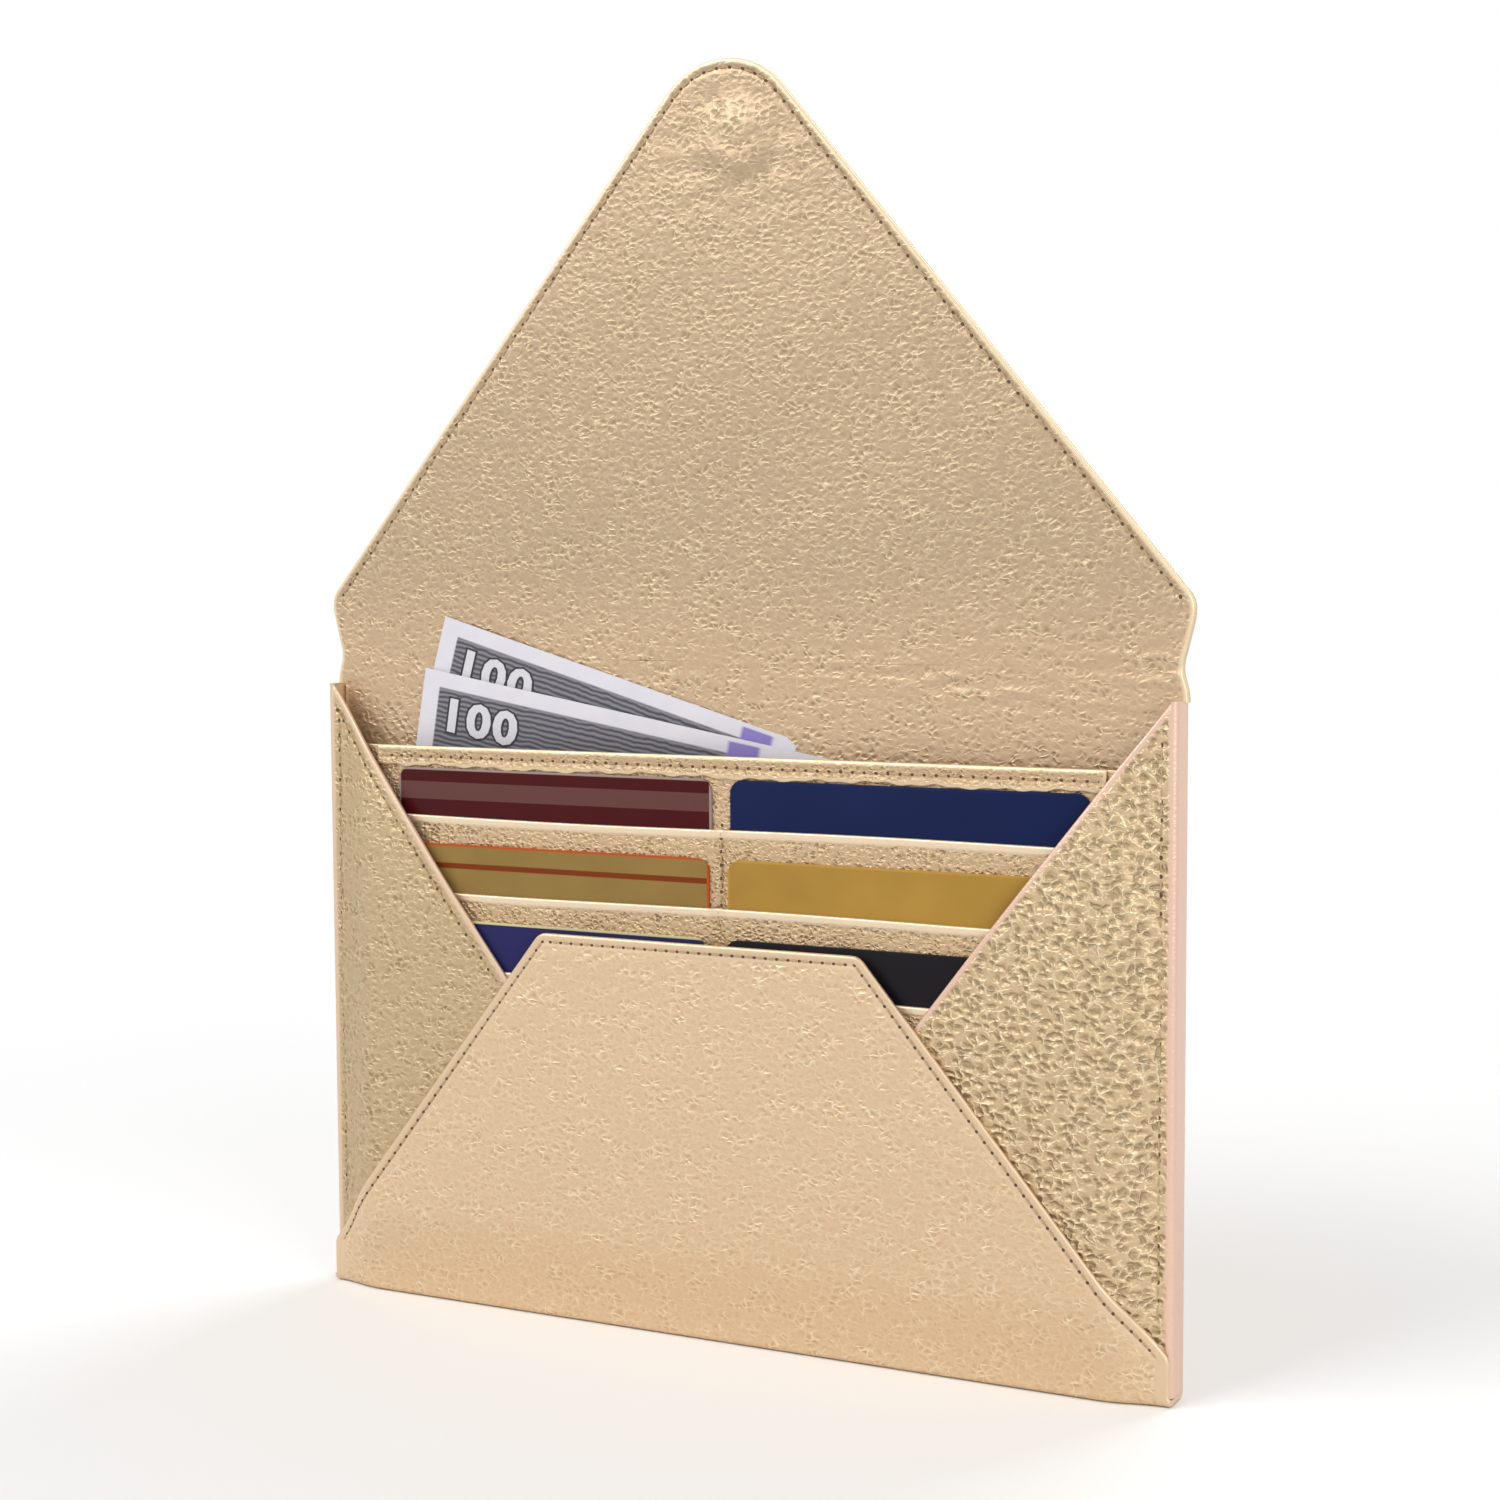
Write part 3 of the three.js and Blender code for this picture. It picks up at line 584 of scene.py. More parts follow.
for side, label in ((-1, "left"), (1, "right")):
    hidden_edge = np.abs(trapezoid_edge(side, panel_z)) - triangle_lap
    end_x = np.minimum(np.maximum(long_edge, hidden_edge), bend_x - 0.2)
    span = (bend_x - end_x)[:, None]
    near_free = end_x[:, None] + edge_steps * np.minimum(1, span / (3 * edge_steps[-1]))
    first_step = 0.3 * np.minimum(1, span / 3)
    t = np.linspace(1, 0, 36)[1:]
    face_x = bend_x - first_step + (near_free[:, -1:] - bend_x + first_step) * (1 - t)
    face_x = np.concatenate([face_x, near_free[:, ::-1][:, 1:]], axis=1)
    grids = []
    for radius, offset in ((fold_radius, side_leather), (fold_radius - side_leather, 0)):
        wall_x = np.broadcast_to(bend_x + radius, (len(panel_z), len(wall_depths)))
        wall_d = np.broadcast_to(wall_depths, wall_x.shape)
        round_x = np.broadcast_to(bend_x + radius * np.cos(bend_angles), (len(panel_z), len(bend_angles)))
        round_d = np.broadcast_to(side_depth - fold_radius + radius * np.sin(bend_angles), round_x.shape)
        all_x = np.concatenate([wall_x, round_x, face_x], axis=1)
        all_d = np.concatenate([wall_d, round_d, swell(face_x, z) + offset], axis=1)
        grids.append(at(side * all_x, all_d, z))
    slanted = (face_x - long_edge[:, None]) / math.hypot(1, triangle_run)
    free = np.clip(np.where(z > notch_z - 6, slanted, far_inside), 0, far_inside)
    wall_edge = np.minimum(wall_depths, rim_width)[None, :] + 0 * z
    round_edge = np.full((len(panel_z), len(bend_angles)), rim_width)
    face_edge = np.minimum(np.clip(rim_width + (bend_x - face_x), 0, far_inside), free)
    from_edge = np.concatenate([wall_edge, round_edge, face_edge], axis=1)
    bare = ease(40, 48, z) * ease(triangle_top - 4, triangle_top - 10, z)
    relief = np.zeros_like(from_edge)
    relief[:, face_start:] = (groove(bend_x - face_x, side_seam, width=0.4, sink=0.15) * ease(18, 26, z)
                              + groove(free, triangle_seam, width=0.5, sink=0.25 if side < 0 else 0)
                              + slump(face_x * side, z, size=0.3, reach=15) * ease(0, 5, face_edge) * bare)
    panel = hide_sheet(f"side_panel_leather_{label}", grids[0], grids[1], from_edge, round_over=0.55,
                       material=side_leathers[side], relief=relief)
    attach(panel, "wallet_body")
    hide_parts(f"side_panel_{label}")
    seam_foot = trapezoid_foot + (trapezoid_foot_x - bend_x + side_seam + 4) / trapezoid_run(side)
    seam_z = np.linspace(seam_foot, triangle_top - 9, 90)
    path = at(side * (bend_x - side_seam), swell(bend_x - side_seam, seam_z) + side_leather - 0.15, seam_z)
    seam = sew(f"side_seam_stitches_{label}", path, front_out, pitch=3.6 if side < 0 else 3.8, hole_radius=0.4)
    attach(seam, "wallet_body")
    if side < 0:
        seam_z = np.linspace(notch_z + 2, triangle_top - 6.5, 120)
        seam_x = bend_x - (triangle_top - seam_z) * triangle_run + triangle_seam * math.hypot(1, triangle_run)
        keep = seam_x < bend_x - side_seam + 1.0
        path = at(side * seam_x[keep], swell(seam_x[keep], seam_z[keep]) + side_leather - thread_sink, seam_z[keep])
        seam = sew(f"triangle_stitches_{label}", path, front_out, pitch=3.3, hole_radius=0.36)
        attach(seam, "wallet_body")


# Card panel and its top band
# A thin board-backed sheet carries the card slots between the side seams. A narrow folded band is sewn
# along its top edge.
panel_back = 7.1
panel_leather = 0.6
panel_front = panel_back + panel_leather
panel_top = 134.2
band_height = 4.9
# Thin split leather with a fine, crisp pebble: it sparkles in small points, with painted highlights on its ridges and
# painted shade in its pits, and its cut edges are paler.
panel_face = foiled_leather("gold_foiled_panel_leather", cell=1.4, grain_depth=0.28, pit_shade="#a58a63", face="#c6a985",
                            ridge_highlight="#e8d3ae", border="#e4cda9", border_width=0.8, roughness=0.44)
panel_rows = np.concatenate([panel_top - edge_steps, np.linspace(panel_top - 5, 4, 50)])
half = np.full(len(panel_rows), wall_half)
x = across(-half, half, 100)
z = panel_rows[:, None]
depth = panel_side_back + (panel_back - panel_side_back) * ease(swell_side_half, swell_flat_half, np.abs(x))
from_edge = np.minimum(panel_top - z, 20) + 0 * x
panel = hide_sheet("card_panel_leather", at(x, depth + panel_leather, z), at(x, depth, z), from_edge,
                   round_over=0.3, material=panel_face)
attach(panel, "wallet_body")
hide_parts("card_panel")

band_drop = np.concatenate([edge_steps[:8], np.linspace(2.0, 3.4, 4), band_height - edge_steps[5::-1]])
half = np.full(len(band_drop), swell_flat_half)
x = across(-half, half, 260)
ragged = 0.25 * np.sin(x / 2.3) + 0.18 * np.sin(x / 0.9 + 1.3) + 0.22 * np.sin(x / 9 + 0.4)
drop = band_drop[:, None] * (1 + ragged / band_height * (band_drop[:, None] / band_height) ** 2)
from_edge = np.minimum(np.minimum(band_drop, band_height - band_drop)[:, None] + 0 * x, half[:, None] - np.abs(x))
relief = groove(from_edge, inset=2.2, width=0.6, sink=0.16) + 0.12 * ease(0.6, 0.2, np.abs(from_edge - 0.9))
band = hide_sheet("panel_top_band_leather", at(x, panel_front + 0.75, panel_top - drop),
                  at(x, panel_front + 0.03, panel_top - drop), from_edge, round_over=0.4,
                  material=panel_face, relief=relief)
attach(band, "wallet_body")
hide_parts("panel_top_band")
line_x = np.linspace(-swell_flat_half + 1.5, swell_flat_half - 1.5, 80)
seam = sew("panel_band_stitches", at(line_x, panel_front + 0.62, panel_top - 2.5), front_out, pitch=2.85)
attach(seam, "wallet_body")


# Card pockets
# Three staggered strips of thin leather. The mouth of each is folded back on itself, so its top two
# millimetres are smooth and doubled, and below them the pebble starts. One seam parts the two columns.
first_card_top = 129.0
card_showing = 11.4
row_pitch = 18.0
card_height = 54.0
card_width = 85.6
card_thickness = 0.76
pocket_leather = 0.6
slot_step = card_thickness + pocket_leather
slot_reach = 88.3
centre_x = 1.5
centre_half = 2.1
# The pockets' leather is the panel's with a deeper pebble, painted shade in its pits and painted highlights on its
# ridges, and a smooth pale band where the mouth folds.
pocket_face = foiled_leather("gold_foiled_pocket_leather", cell=1.4, grain_depth=0.32, pit_shade="#a0855c",
                             face="#c4a782", ridge_highlight="#e8d3ad", border="#ead3b4", border_width=2.0, roughness=0.43)
for row, label in enumerate(("top", "middle", "bottom")):
    back = panel_front + row * slot_step
    mouth = first_card_top - card_showing - row * row_pitch
    foot = first_card_top - card_height - 0.3 - row * row_pitch
    tall = mouth - foot
    drop = np.concatenate([edge_steps, np.linspace(3.8, tall - 1, 30), tall - edge_steps[5::-1]])
    half = np.full(len(drop), slot_reach + 2.0)
    x = centre_x + across(-half, half, 150)
    z = mouth - drop[:, None] + 0.25 * np.sin(x / 23 + row) * ease(8, 0, drop[:, None])
    seam_dip = card_thickness * np.exp(-((x - centre_x) / 1.5) ** 6)
    front = back + slot_step - seam_dip
    from_edge = np.minimum(np.minimum(drop, tall - drop)[:, None] + 0 * x, 12)
    fold = 0.22 * ease(2.3, 1.5, drop[:, None]) - 0.12 * np.exp(-((drop[:, None] - 2.2) / 0.3) ** 2)
    ripple = slump(x, z, size=0.18, reach=9) * ease(0, 5, drop[:, None]) * ease(16, 9, drop[:, None])
    pocket = hide_sheet(f"pocket_leather_{label}", at(x, front, z), at(x, front - pocket_leather + 0.03, z),
                        from_edge, round_over=0.32, material=pocket_face, relief=fold + ripple)
    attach(pocket, "wallet_body")
    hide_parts(f"pocket_{label}")
seam_rows = np.linspace(118.5, 95, 30)
seam_depth = panel_front + np.where(seam_rows < first_card_top - card_showing, slot_step - card_thickness, 0)
seam_depth = seam_depth + np.where(seam_rows < first_card_top - card_showing - row_pitch, slot_step, 0)
seam = sew("centre_seam_stitches", at(centre_x, seam_depth, seam_rows), front_out, pitch=2.9)
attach(seam, "wallet_body")


# Cards
# Six plain laminated plastic cards in the slots, each with the standard 3.18 mm corners and a slightly
# softened cut edge. The laminate gives deep, even colour under a faint sheen, with a printed band or line.
card_corner = 3.18
card_radius_steps = np.linspace(0, math.pi / 2, 10)


def card_outline(x0, z0, inset):
    """Across and up of a card's outline, set in by inset: four quarter circles about the corner
    centres, one after another."""
    r = card_corner
    centres = [(x0 + card_width - r, z0 + r, -math.pi / 2), (x0 + card_width - r, z0 + card_height - r, 0),
               (x0 + r, z0 + card_height - r, math.pi / 2), (x0 + r, z0 + r, math.pi)]
    parts = [np.stack([cx + (r - inset) * np.cos(start + card_radius_steps),
                       cz + (r - inset) * np.sin(start + card_radius_steps)], -1) for cx, cz, start in centres]
    return np.concatenate(parts)


def laminated_card(name, base, outline, middle_x, middle_z, stripe=None):
    """Gloss laminate over a printed core. Distance to the printed outline comes from the Object
    coordinates: the larger of the distances across and up from the card's middle. Stripe is the colour,
    lower edge and height in millimetres of a printed band."""
    material, tree = new_material(name)
    where = add_node(tree, "TexCoord").outputs["Object"]
    split = add_node(tree, "SeparateXYZ", {0: where})
    outline_width = 0.0005
    past = []
    for axis, middle, size in ((0, middle_x, card_width), (2, middle_z, card_height)):
        off = add_node(tree, "Math", {0: split.outputs[axis], 1: middle / 1000}, operation="SUBTRACT")
        off = add_node(tree, "Math", {0: off}, operation="ABSOLUTE")
        past.append(add_node(tree, "Math", {0: off, 1: size / 2000 - outline_width}, operation="SUBTRACT"))
    outside = add_node(tree, "Math", {0: past[0], 1: past[1], 2: 0.002}, operation="SMOOTH_MAX")
    rim = add_node(tree, "MapRange", {"Value": outside, "From Min": -0.0001, "From Max": 0.0001})
    prints = [(rim, outline)]
    if stripe:
        code, low, tall = stripe
        above = add_node(tree, "Math", {0: split.outputs[2], 1: (low + tall / 2) / 1000}, operation="SUBTRACT")
        above = add_node(tree, "Math", {0: above}, operation="ABSOLUTE")
        band = add_node(tree, "MapRange", {"Value": above, "From Min": tall / 2000 + 0.00008,
                                           "From Max": tall / 2000 - 0.00008})
        prints.insert(0, (band, code))
    cloud = add_node(tree, "TexNoise", {"Vector": where, "Scale": 70.0, "Detail": 2.0})
    colour = add_node(tree, "Mix", {"Factor": cloud, 6: linear_colour(base, 0.72), 7: linear_colour(base)},
                      data_type="RGBA").outputs[2]
    for cover, tint in prints:
        colour = add_node(tree, "Mix", {"Factor": cover, 6: colour, 7: linear_colour(tint)},
                          data_type="RGBA").outputs[2]
    haze = add_node(tree, "TexNoise", {"Vector": where, "Scale": 1000 / 0.8, "Detail": 2.0})
    bump = add_node(tree, "Bump", {"Height": haze, "Distance": 0.00001})
    shader = add_node(tree, "BsdfPrincipled", {"Base Color": colour, "Roughness": 0.32, "Normal": bump,
                                               "Specular IOR Level": 0.12, "IOR": 1.5})
    add_node(tree, "OutputMaterial", {"Surface": shader})
    return material


# Each card's colour, outline and printed band.
card_looks = {
    "top_left": ("#4c0f13", "#a08a84", ("#643f3b", 121.5, 4.2)),
    "top_right": ("#101e4c", "#101e4c", None),
    "middle_left": ("#9a7d45", "#b8501e", ("#7a3510", 105.2, 1.3)),
    "middle_right": ("#b88f40", "#b88f40", None),
    "bottom_left": ("#2c2a60", "#cfc89a", None),
    "bottom_right": ("#1b171d", "#1b171d", None),
}
# The softened cut edge, from back to front: how far it is set in, and how far forward it is.
softened = [(0.12, 0.0), (0.03, 0.04), (0.0, 0.13), (0.0, 0.6), (0.03, 0.69), (0.12, 0.73)]
for row, row_label in enumerate(("top", "middle", "bottom")):
    for side, side_label in ((-1, "left"), (1, "right")):
        label = f"{row_label}_{side_label}"
        inner_x = centre_x + side * (centre_half + 0.3)
        x0 = inner_x if side > 0 else inner_x - card_width
        z0 = first_card_top - row * row_pitch - card_height
        back = panel_front + row * slot_step + 0.02
        loops = []
        for inset, up in softened:
            line = card_outline(x0, z0, inset)
            loops.append(at(line[:, 0], back + up, line[:, 1]))
        loops = np.stack(loops)
        count = loops.shape[1]
        number = np.arange(loops.shape[0] * count).reshape(loops.shape[0], count)
        around = np.roll(number, -1, axis=1)
        sides = np.stack([number[:-1], around[:-1], around[1:], number[1:]], -1).reshape(-1, 4).tolist()
        faces = sides + [number[0][::-1].tolist(), number[-1].tolist()]
        base, outline, stripe = card_looks[label]
        look = laminated_card(f"gloss_laminated_card_{label}", base, outline, x0 + card_width / 2,
                              z0 + card_height / 2, stripe)
        piece = add_mesh(f"laminated_card_{label}", loops, faces, look, sharp=0.5)
        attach(piece, "wallet_body")
        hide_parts(f"card_{label}")


# Notes
# Two slips of cotton paper in the bill pocket, printed with a plain grey band, fine lines and a plain
# number. The paper bows a little.
note_width, note_height = 156.0, 66.3
paper_thickness = 0.12


def paper_bow(along, down):
    """How far the paper bows forward in millimetres: a long and a short sine wave along it, each of
    which fades out on the way down."""
    return 0.32 * np.sin(along / 24 + 0.6) * ease(40, 0, down) + 0.12 * np.sin(along / 9.5) * ease(20, 0, down)


def printed_paper(name):
    """Cotton paper with an intaglio print, read from the slip's own UV map in metres from its top left
    corner: white margin, a grey band of fine wavy lines, and a violet patch further along."""
    material, tree = new_material(name)
    own = add_node(tree, "UVMap", uv_map="paper").outputs["UV"]
    split = add_node(tree, "SeparateXYZ", {0: own})
    along, down = split.outputs[0], split.outputs[1]
    lines = add_node(tree, "TexWave", {"Vector": own, "Scale": 260.0, "Distortion": 3.0, "Detail": 1.0},
                     bands_direction="Y").outputs["Fac"]
    fibre = add_node(tree, "TexNoise", {"Vector": own, "Scale": 1000 / 0.4, "Detail": 3.0})
    cloud = add_node(tree, "TexNoise", {"Vector": own, "Scale": 120.0, "Detail": 3.0})
    limits = []  # where each printed part starts or ends, as a soft step from the first place to the second
    for way, low, high in ((along, 0.0046, 0.005), (down, 0.0036, 0.004), (along, 0.083, 0.085),
                           (along, 0.0835, 0.0845), (along, 0.0925, 0.0915), (down, 0.0008, 0.0012)):
        limits.append(add_node(tree, "MapRange", {"Value": way, "From Min": low, "From Max": high}))
    band_left, band_top, violet_left, patch_left, patch_right, patch_top = limits
    field = add_node(tree, "Math", {0: band_left, 1: band_top}, operation="MULTIPLY")
    stamped = patch_left
    for limit in (patch_right, patch_top):
        stamped = add_node(tree, "Math", {0: stamped, 1: limit}, operation="MULTIPLY")
    ink = add_node(tree, "Mix", {"Factor": lines, 6: linear_colour("#4a484f"), 7: linear_colour("#8b8991")},
                   data_type="RGBA").outputs[2]
    ink = add_node(tree, "Mix", {"Factor": violet_left, 6: ink, 7: linear_colour("#a79bd2")},
                   data_type="RGBA").outputs[2]
    colour = add_node(tree, "Mix", {"Factor": cloud, 6: linear_colour("#d9d5de"), 7: linear_colour("#ebe8ee")},
                      data_type="RGBA").outputs[2]
    for cover, tint in ((field, ink), (stamped, linear_colour("#8f80c4"))):
        colour = add_node(tree, "Mix", {"Factor": cover, 6: colour, 7: tint}, data_type="RGBA").outputs[2]
    bump = add_node(tree, "Bump", {"Height": fibre, "Distance": 0.00004})
    shader = add_node(tree, "BsdfPrincipled", {"Base Color": colour, "Roughness": 0.85, "Normal": bump})
    add_node(tree, "OutputMaterial", {"Surface": shader})
    return material


# Matt cotton paper, and a pale number on a wider dark one, both with a trace of the paper's fibre.
paper = printed_paper("printed_cotton_paper")
pale_ink, dark_ink = [flecked(name, 0.4, linear_colour(code, 0.85), linear_colour(code), 0.8)
                      for name, code in (("pale_number_ink", "#e4e1e8"), ("dark_number_ink", "#37353b"))]
number_size, number_stretch = 0.0108, 1.25
number_left, number_foot = 6.2, 13.6
number_lift = 0.03
for label, corner_x, corner_z, turn, depth in (("front", -81.5, panel_top + 18.6, -9.9, 3.5),
                                               ("rear", -76.0, panel_top + 31.1, -16.3, 2.85)):
    cos, sin = math.cos(math.radians(turn)), math.sin(math.radians(turn))
    u, v = np.meshgrid(np.linspace(0, note_width, 110), np.linspace(0, note_height, 50))
    x = corner_x + u * cos + v * sin
    z = corner_z + u * sin - v * cos
    bow = paper_bow(u, v)
    edge = np.minimum(np.minimum(u, note_width - u), np.minimum(v, note_height - v))
    slip = hide_sheet(f"paper_note_{label}", at(x, depth + bow + paper_thickness, z), at(x, depth + bow, z), edge,
                      round_over=0.05, material=paper)
    layer = slip.data.uv_layers.new(name="paper")
    spots = np.empty(len(slip.data.vertices) * 3)
    slip.data.vertices.foreach_get("co", spots)
    spots = spots.reshape(-1, 3) * 1000
    dx, dz = spots[:, 0] - corner_x, spots[:, 2] - corner_z
    own = np.stack([dx * cos + dz * sin, dx * sin - dz * cos], -1)
    corners = np.empty(len(slip.data.loops), dtype=np.int32)
    slip.data.loops.foreach_get("vertex_index", corners)
    layer.data.foreach_set("uv", (own[corners] / 1000).ravel())
    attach(slip, "wallet_body")
    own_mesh(slip)
    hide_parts(f"note_{label}")
    for part, swelling, above, ink in (("shade", 0.00085, 0.0, dark_ink), ("face", 0.0004, 0.05, pale_ink)):
        written = bpy.data.curves.new(f"note_number_{part}_{label}", "FONT")
        written.body = "100"
        written.size = number_size
        written.extrude = 0.00002
        written.offset = swelling
        written.space_character = 1.12
        written.resolution_u = 3
        maker = put_in("number_maker", written)
        bpy.context.view_layer.update()
        flat = bpy.data.meshes.new_from_object(maker)
        bpy.data.objects.remove(maker)
        work = bmesh.new()
        work.from_mesh(flat)
        bmesh.ops.remove_doubles(work, verts=work.verts, dist=1e-7)
        bmesh.ops.triangulate(work, faces=work.faces)
        work.to_mesh(flat)
        work.free()
        spots = np.empty(len(flat.vertices) * 3)
        flat.vertices.foreach_get("co", spots)
        spots = spots.reshape(-1, 3) * 1000
        along, down = spots[:, 0] * number_stretch + number_left, number_foot - spots[:, 1]
        proud = spots[:, 2] + number_lift + above
        placed = at(corner_x + along * cos + down * sin, depth + paper_bow(along, down) + paper_thickness + proud,
                    corner_z + along * sin - down * cos)
        flat.vertices.foreach_set("co", placed.ravel())
        flat.materials.clear()
        flat.materials.append(ink)
        flat.update()
        number = put_in(f"note_number_{part}_{label}", flat)
        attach(number, "wallet_body")
        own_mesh(number)


# Flap
# Outer leather and lining, pasted back to back round a hidden magnet and sewn along the slants and the
# tip. The edge is turned and burnished smooth, and over the magnet stands a round swelling with creases.
flap_half = 109.8
flap_corner_z = 170.0
flap_corner_radius = 6.0
flap_slope = math.radians(50)
tip_radius = 19.0
tip_z = flap_corner_z + flap_half * math.tan(flap_slope) - tip_radius * (1 / math.cos(flap_slope) - 1)
tip_centre = tip_z - tip_radius
corner_cut = flap_corner_radius * math.tan((math.pi / 2 - flap_slope) / 2)
corner_z = flap_corner_z - corner_cut
corner_x = flap_half - flap_corner_radius
upper_hinge_z = 161.73
magnet_x, magnet_z = 3.0, tip_z - 18.5
flap_seam = 2.1


def flap_side(z):
    """Half width of the flap below its corners: the drawn-in fold, then a straight flare."""
    return fold_half(z) + (flap_half - strip_half) * ease(upper_hinge_z - 2, corner_z, z)


def flap_edge(z):
    """Half width of the flap: side, round corner, slanted edge, round tip."""
    slant = flap_half - (z - flap_corner_z) / math.tan(flap_slope)
    corner = corner_x + np.sqrt(np.maximum(0, flap_corner_radius ** 2 - (z - corner_z) ** 2))
    tip = np.sqrt(np.maximum(0, tip_radius ** 2 - (z - tip_centre) ** 2))
    edge = np.where(z < corner_z, flap_side(z), corner)
    edge = np.where(z > corner_z + flap_corner_radius * math.cos(flap_slope), slant, edge)
    return np.where(z > tip_centre + tip_radius * math.cos(flap_slope), tip, edge)


def from_flap_edge(x, z):
    """Distance to the flap's edge: to the side, at right angles to the slant, or a radius less the
    distance to the centre of the corner or tip."""
    here = np.abs(x)
    slant = (flap_half - here) * math.sin(flap_slope) + (flap_corner_z - z) * math.cos(flap_slope)
    near = np.minimum(slant, flap_side(z) - here)
    u, v = here - corner_x, z - corner_z
    in_corner = (v > 0) & (v < u / math.tan(flap_slope)) & (u > 0)
    near = np.where(in_corner, flap_corner_radius - np.hypot(u, v), near)
    w = z - tip_centre
    in_tip = (w > 0) & (w > here / math.tan(flap_slope))
    return np.maximum(np.where(in_tip, tip_radius - np.hypot(here, w), near), 0)


flap_z = np.concatenate([np.linspace(mid_strip, 172, 44), np.linspace(173, tip_z - 5, 74),
                         tip_z - np.array([4.3, 3.6, 3.0, 2.45, 1.95, 1.5, 1.1, 0.75, 0.45, 0.22, 0.07, 0])])
edge_x = flap_edge(flap_z)
x = across(-edge_x, edge_x, 116)
z = flap_z[:, None]
from_edge = from_flap_edge(x, z)
from_magnet = np.hypot(x - magnet_x, z - magnet_z)
round_bump = ease(12.0, 3.0, from_magnet)
ring = np.exp(-((from_magnet - 11) / 2.5) ** 2)
tip_creases = (np.exp(-((z - magnet_z + 3) / 15) ** 2) * np.exp(-((x - magnet_x) / 20) ** 2)
               * 0.16 * np.sin((z + 1.4 * np.sin(x / 5 + 0.5) + 0.8 * np.sin(x / 2.3)) / 1.25))
soft = slump(x, z, size=0.35, reach=24) * ease(0, 8, from_edge)
above_fold = ease(165, 172, z)
inside_relief = (0.9 * round_bump - 0.12 * ring + tip_creases * ease(1, 5, from_edge) + soft
                 + groove(from_edge, flap_seam, width=0.5, sink=0.3) * above_fold + fold_wrinkles(x, z) * 0.8)
outside_relief = (0.45 * round_bump - 0.08 * ring + soft * -0.6
                  + groove(from_edge, flap_seam, width=0.5, sink=0.25) * above_fold + fold_wrinkles(x, z) * 0.6)
flap_inside = hide_sheet("flap_lining_leather", at(x, back_wall, z), at(x, outer_leather + 0.02, z), from_edge,
                         round_over=0.8, material=lining_face, relief=inside_relief)
flap_outside = hide_sheet("flap_outer_leather", at(x, 0.0, z), at(x, outer_leather, z), from_edge,
                          round_over=0.8, material=shell_leather, relief=outside_relief)
for piece, node, slot in ((flap_inside, "flap_lining", "gold_lining"), (flap_outside, "flap_outer", "gold_leather")):
    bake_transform(piece)
    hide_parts(node)
# The flap's seam runs up both slants and round the tip, on both faces.
low = np.array([flap_half - flap_seam - 0.6, 167.0])
inner_corner = np.array([flap_half - flap_seam / math.sin(flap_slope) - 0.4, flap_corner_z + 0.4])
tip_seam = tip_radius - flap_seam
tip_start = np.array([tip_seam * math.sin(flap_slope), tip_centre + tip_seam * math.cos(flap_slope)])
slant_line = inner_corner + (tip_start - inner_corner) * np.linspace(0, 1, 200)[:, None]
turn = np.linspace(math.pi / 2 - flap_slope, math.pi / 2 + flap_slope, 40)
tip_line = np.stack([tip_seam * np.cos(turn), tip_centre + tip_seam * np.sin(turn)], -1)
half_line = np.concatenate([low[None], slant_line])
line = np.concatenate([half_line, tip_line[1:-1], half_line[::-1] * [-1, 1]])
for label, depth, out in (("inside", back_wall - thread_sink, (0, -1.0, 0)), ("outside", thread_sink, (0, 1.0, 0))):
    seam = sew(f"flap_stitches_{label}", at(line[:, 0], depth, line[:, 1]), np.array(out), pitch=3.3)
    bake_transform(seam)


# Magnets
# Nickel-plated neodymium discs, one in the flap and its partner behind the front. They keep the frame's
# solids, and only the look of the plating is added: bright metal, faintly clouded.
plated, tree = new_material("nickel_plated_magnet")
where = add_node(tree, "TexCoord").outputs["Object"]
haze = add_node(tree, "TexNoise", {"Vector": where, "Scale": 1000 / 0.5, "Detail": 3.0})
gloss = add_node(tree, "MapRange", {"Value": haze, "To Min": 0.22, "To Max": 0.38})
shader = add_node(tree, "BsdfPrincipled", {"Base Color": linear_colour("#b9b8b4"), "Metallic": 1.0, "Roughness": gloss})
add_node(tree, "OutputMaterial", {"Surface": shader})
for name in ("front_magnet", "flap_magnet"):
    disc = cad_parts[name]
    disc.data.materials.clear()
    disc.data.materials.append(plated)


# Floor, light and camera
# A pale floor that fades into the white surroundings, broad soft lamps, and the camera at the
# photograph's viewing angle.
floor_radius, floor_corners = 1.6, 64
floor_drop = 0.0002
floor_mesh = bpy.data.meshes.new("floor")
ring = np.linspace(0, 2 * math.pi, floor_corners + 1)[:-1]
floor_points = np.stack([floor_radius * np.cos(ring), floor_radius * np.sin(ring), 0 * ring - floor_drop], -1)
floor_mesh.from_pydata(floor_points.tolist(), [], [list(range(floor_corners))])
floor = put_in("floor", floor_mesh)
pale, tree = new_material("pale_matt_floor")
where = add_node(tree, "TexCoord").outputs["Object"]
reach = add_node(tree, "VectorMath", {0: where}, operation="LENGTH").outputs["Value"]
fade = add_node(tree, "MapRange", {"Value": reach, "From Min": 0.16, "From Max": 0.5},
                interpolation_type="SMOOTHSTEP")
matt = add_node(tree, "BsdfDiffuse", {"Color": (0.97, 0.97, 0.97, 1)})
clear = add_node(tree, "BsdfTransparent")
add_node(tree, "OutputMaterial", {"Surface": add_node(tree, "MixShader", {0: fade, 1: matt, 2: clear})})
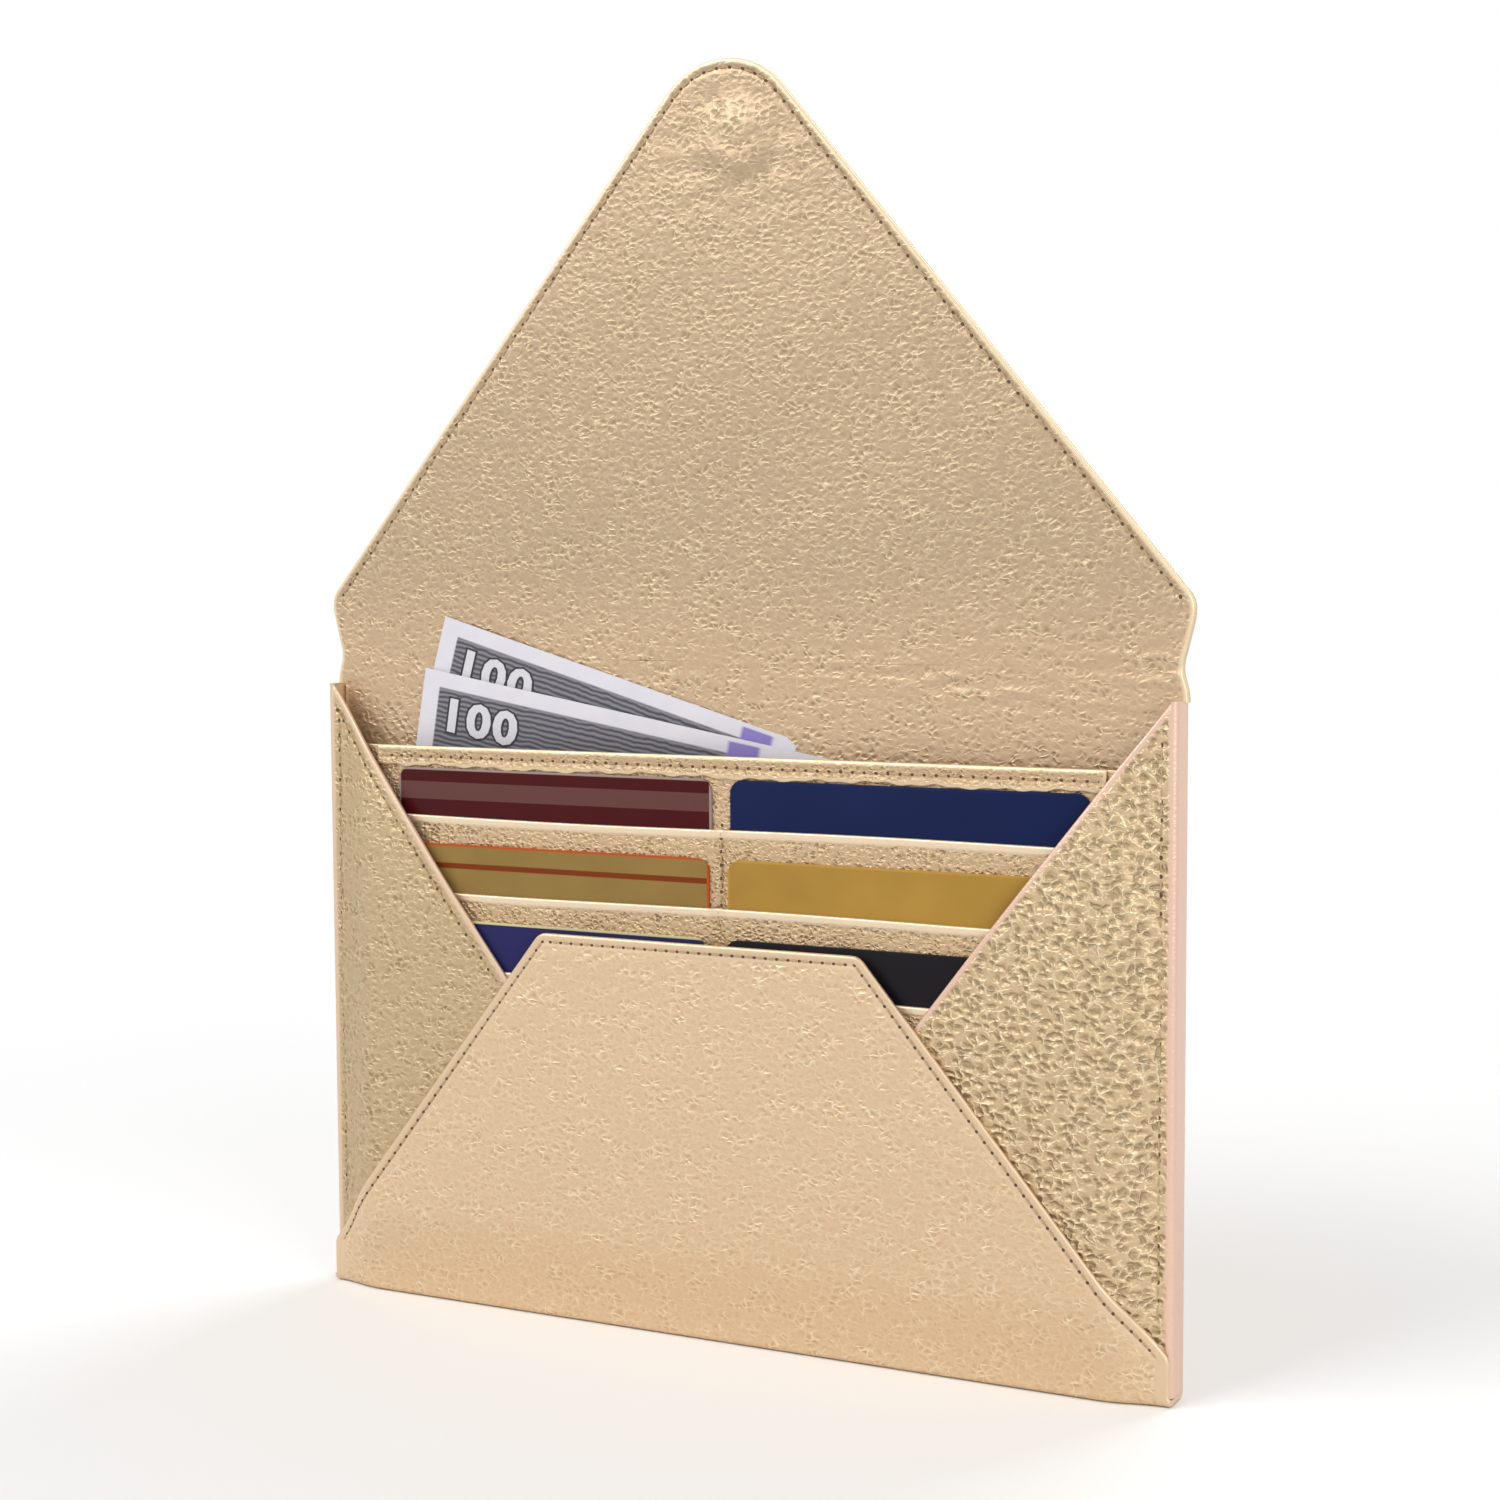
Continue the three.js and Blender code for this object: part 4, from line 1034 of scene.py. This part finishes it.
floor_mesh.materials.append(pale)
floor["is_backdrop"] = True

# The surroundings are white to the camera and in reflections, and half as bright as a light.
world = bpy.data.worlds.new("white_surroundings")
world.use_nodes = True
tree = world.node_tree
tree.nodes.clear()
rays = add_node(tree, "LightPath").outputs
seen = rays["Is Camera Ray"]
for kind in ("Is Glossy Ray", "Is Transmission Ray"):
    seen = add_node(tree, "Math", {0: seen, 1: rays[kind]}, operation="MAXIMUM")
level = add_node(tree, "MapRange", {"Value": seen, "To Min": 0.5, "To Max": 1.0})
sky = add_node(tree, "Background", {"Color": (1, 1, 1, 1), "Strength": level})
add_node(tree, "OutputWorld", {"Surface": sky})
bpy.context.scene.world = world

lit_spot = Vector((0, 0, 0.12))
for label, place, size, power in (("key", (-0.55, -0.75, 0.95), 0.8, 7.5), ("fill", (0.95, -0.6, 0.5), 0.7, 4.0),
                                  ("back", (0.2, 0.9, 0.9), 0.7, 5.0)):
    light = bpy.data.lights.new(label, "AREA")
    light.size = size
    light.energy = power
    lamp = put_in(label, light)
    lamp.location = place
    lamp.rotation_euler = (lit_spot - Vector(place)).to_track_quat("-Z", "Y").to_euler()

azimuth, elevation, roll = math.radians(27.303), math.radians(4.373), math.radians(-0.307)
target, camera_distance = Vector((0.008513, 0, 0.135799)), 0.56378
away = Vector((math.sin(azimuth) * math.cos(elevation), -math.cos(azimuth) * math.cos(elevation), math.sin(elevation)))
level_right = Vector((math.cos(azimuth), math.sin(azimuth), 0))
level_up = away.cross(level_right)
right_way = level_right * math.cos(roll) + level_up * math.sin(roll)
up_way = level_up * math.cos(roll) - level_right * math.sin(roll)
camera_data = bpy.data.cameras.new("camera")
camera_data.lens = 60.19
camera_data.sensor_width = 36
camera = put_in("camera", camera_data)
turned = Matrix((right_way, up_way, away)).transposed().to_4x4()
camera.matrix_world = Matrix.Translation(target + away * camera_distance) @ turned
bpy.context.scene.camera = camera
bpy.context.scene.view_settings.view_transform = "Standard"

bpy.context.view_layer.update()
low, high = [list(corner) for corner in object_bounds()]
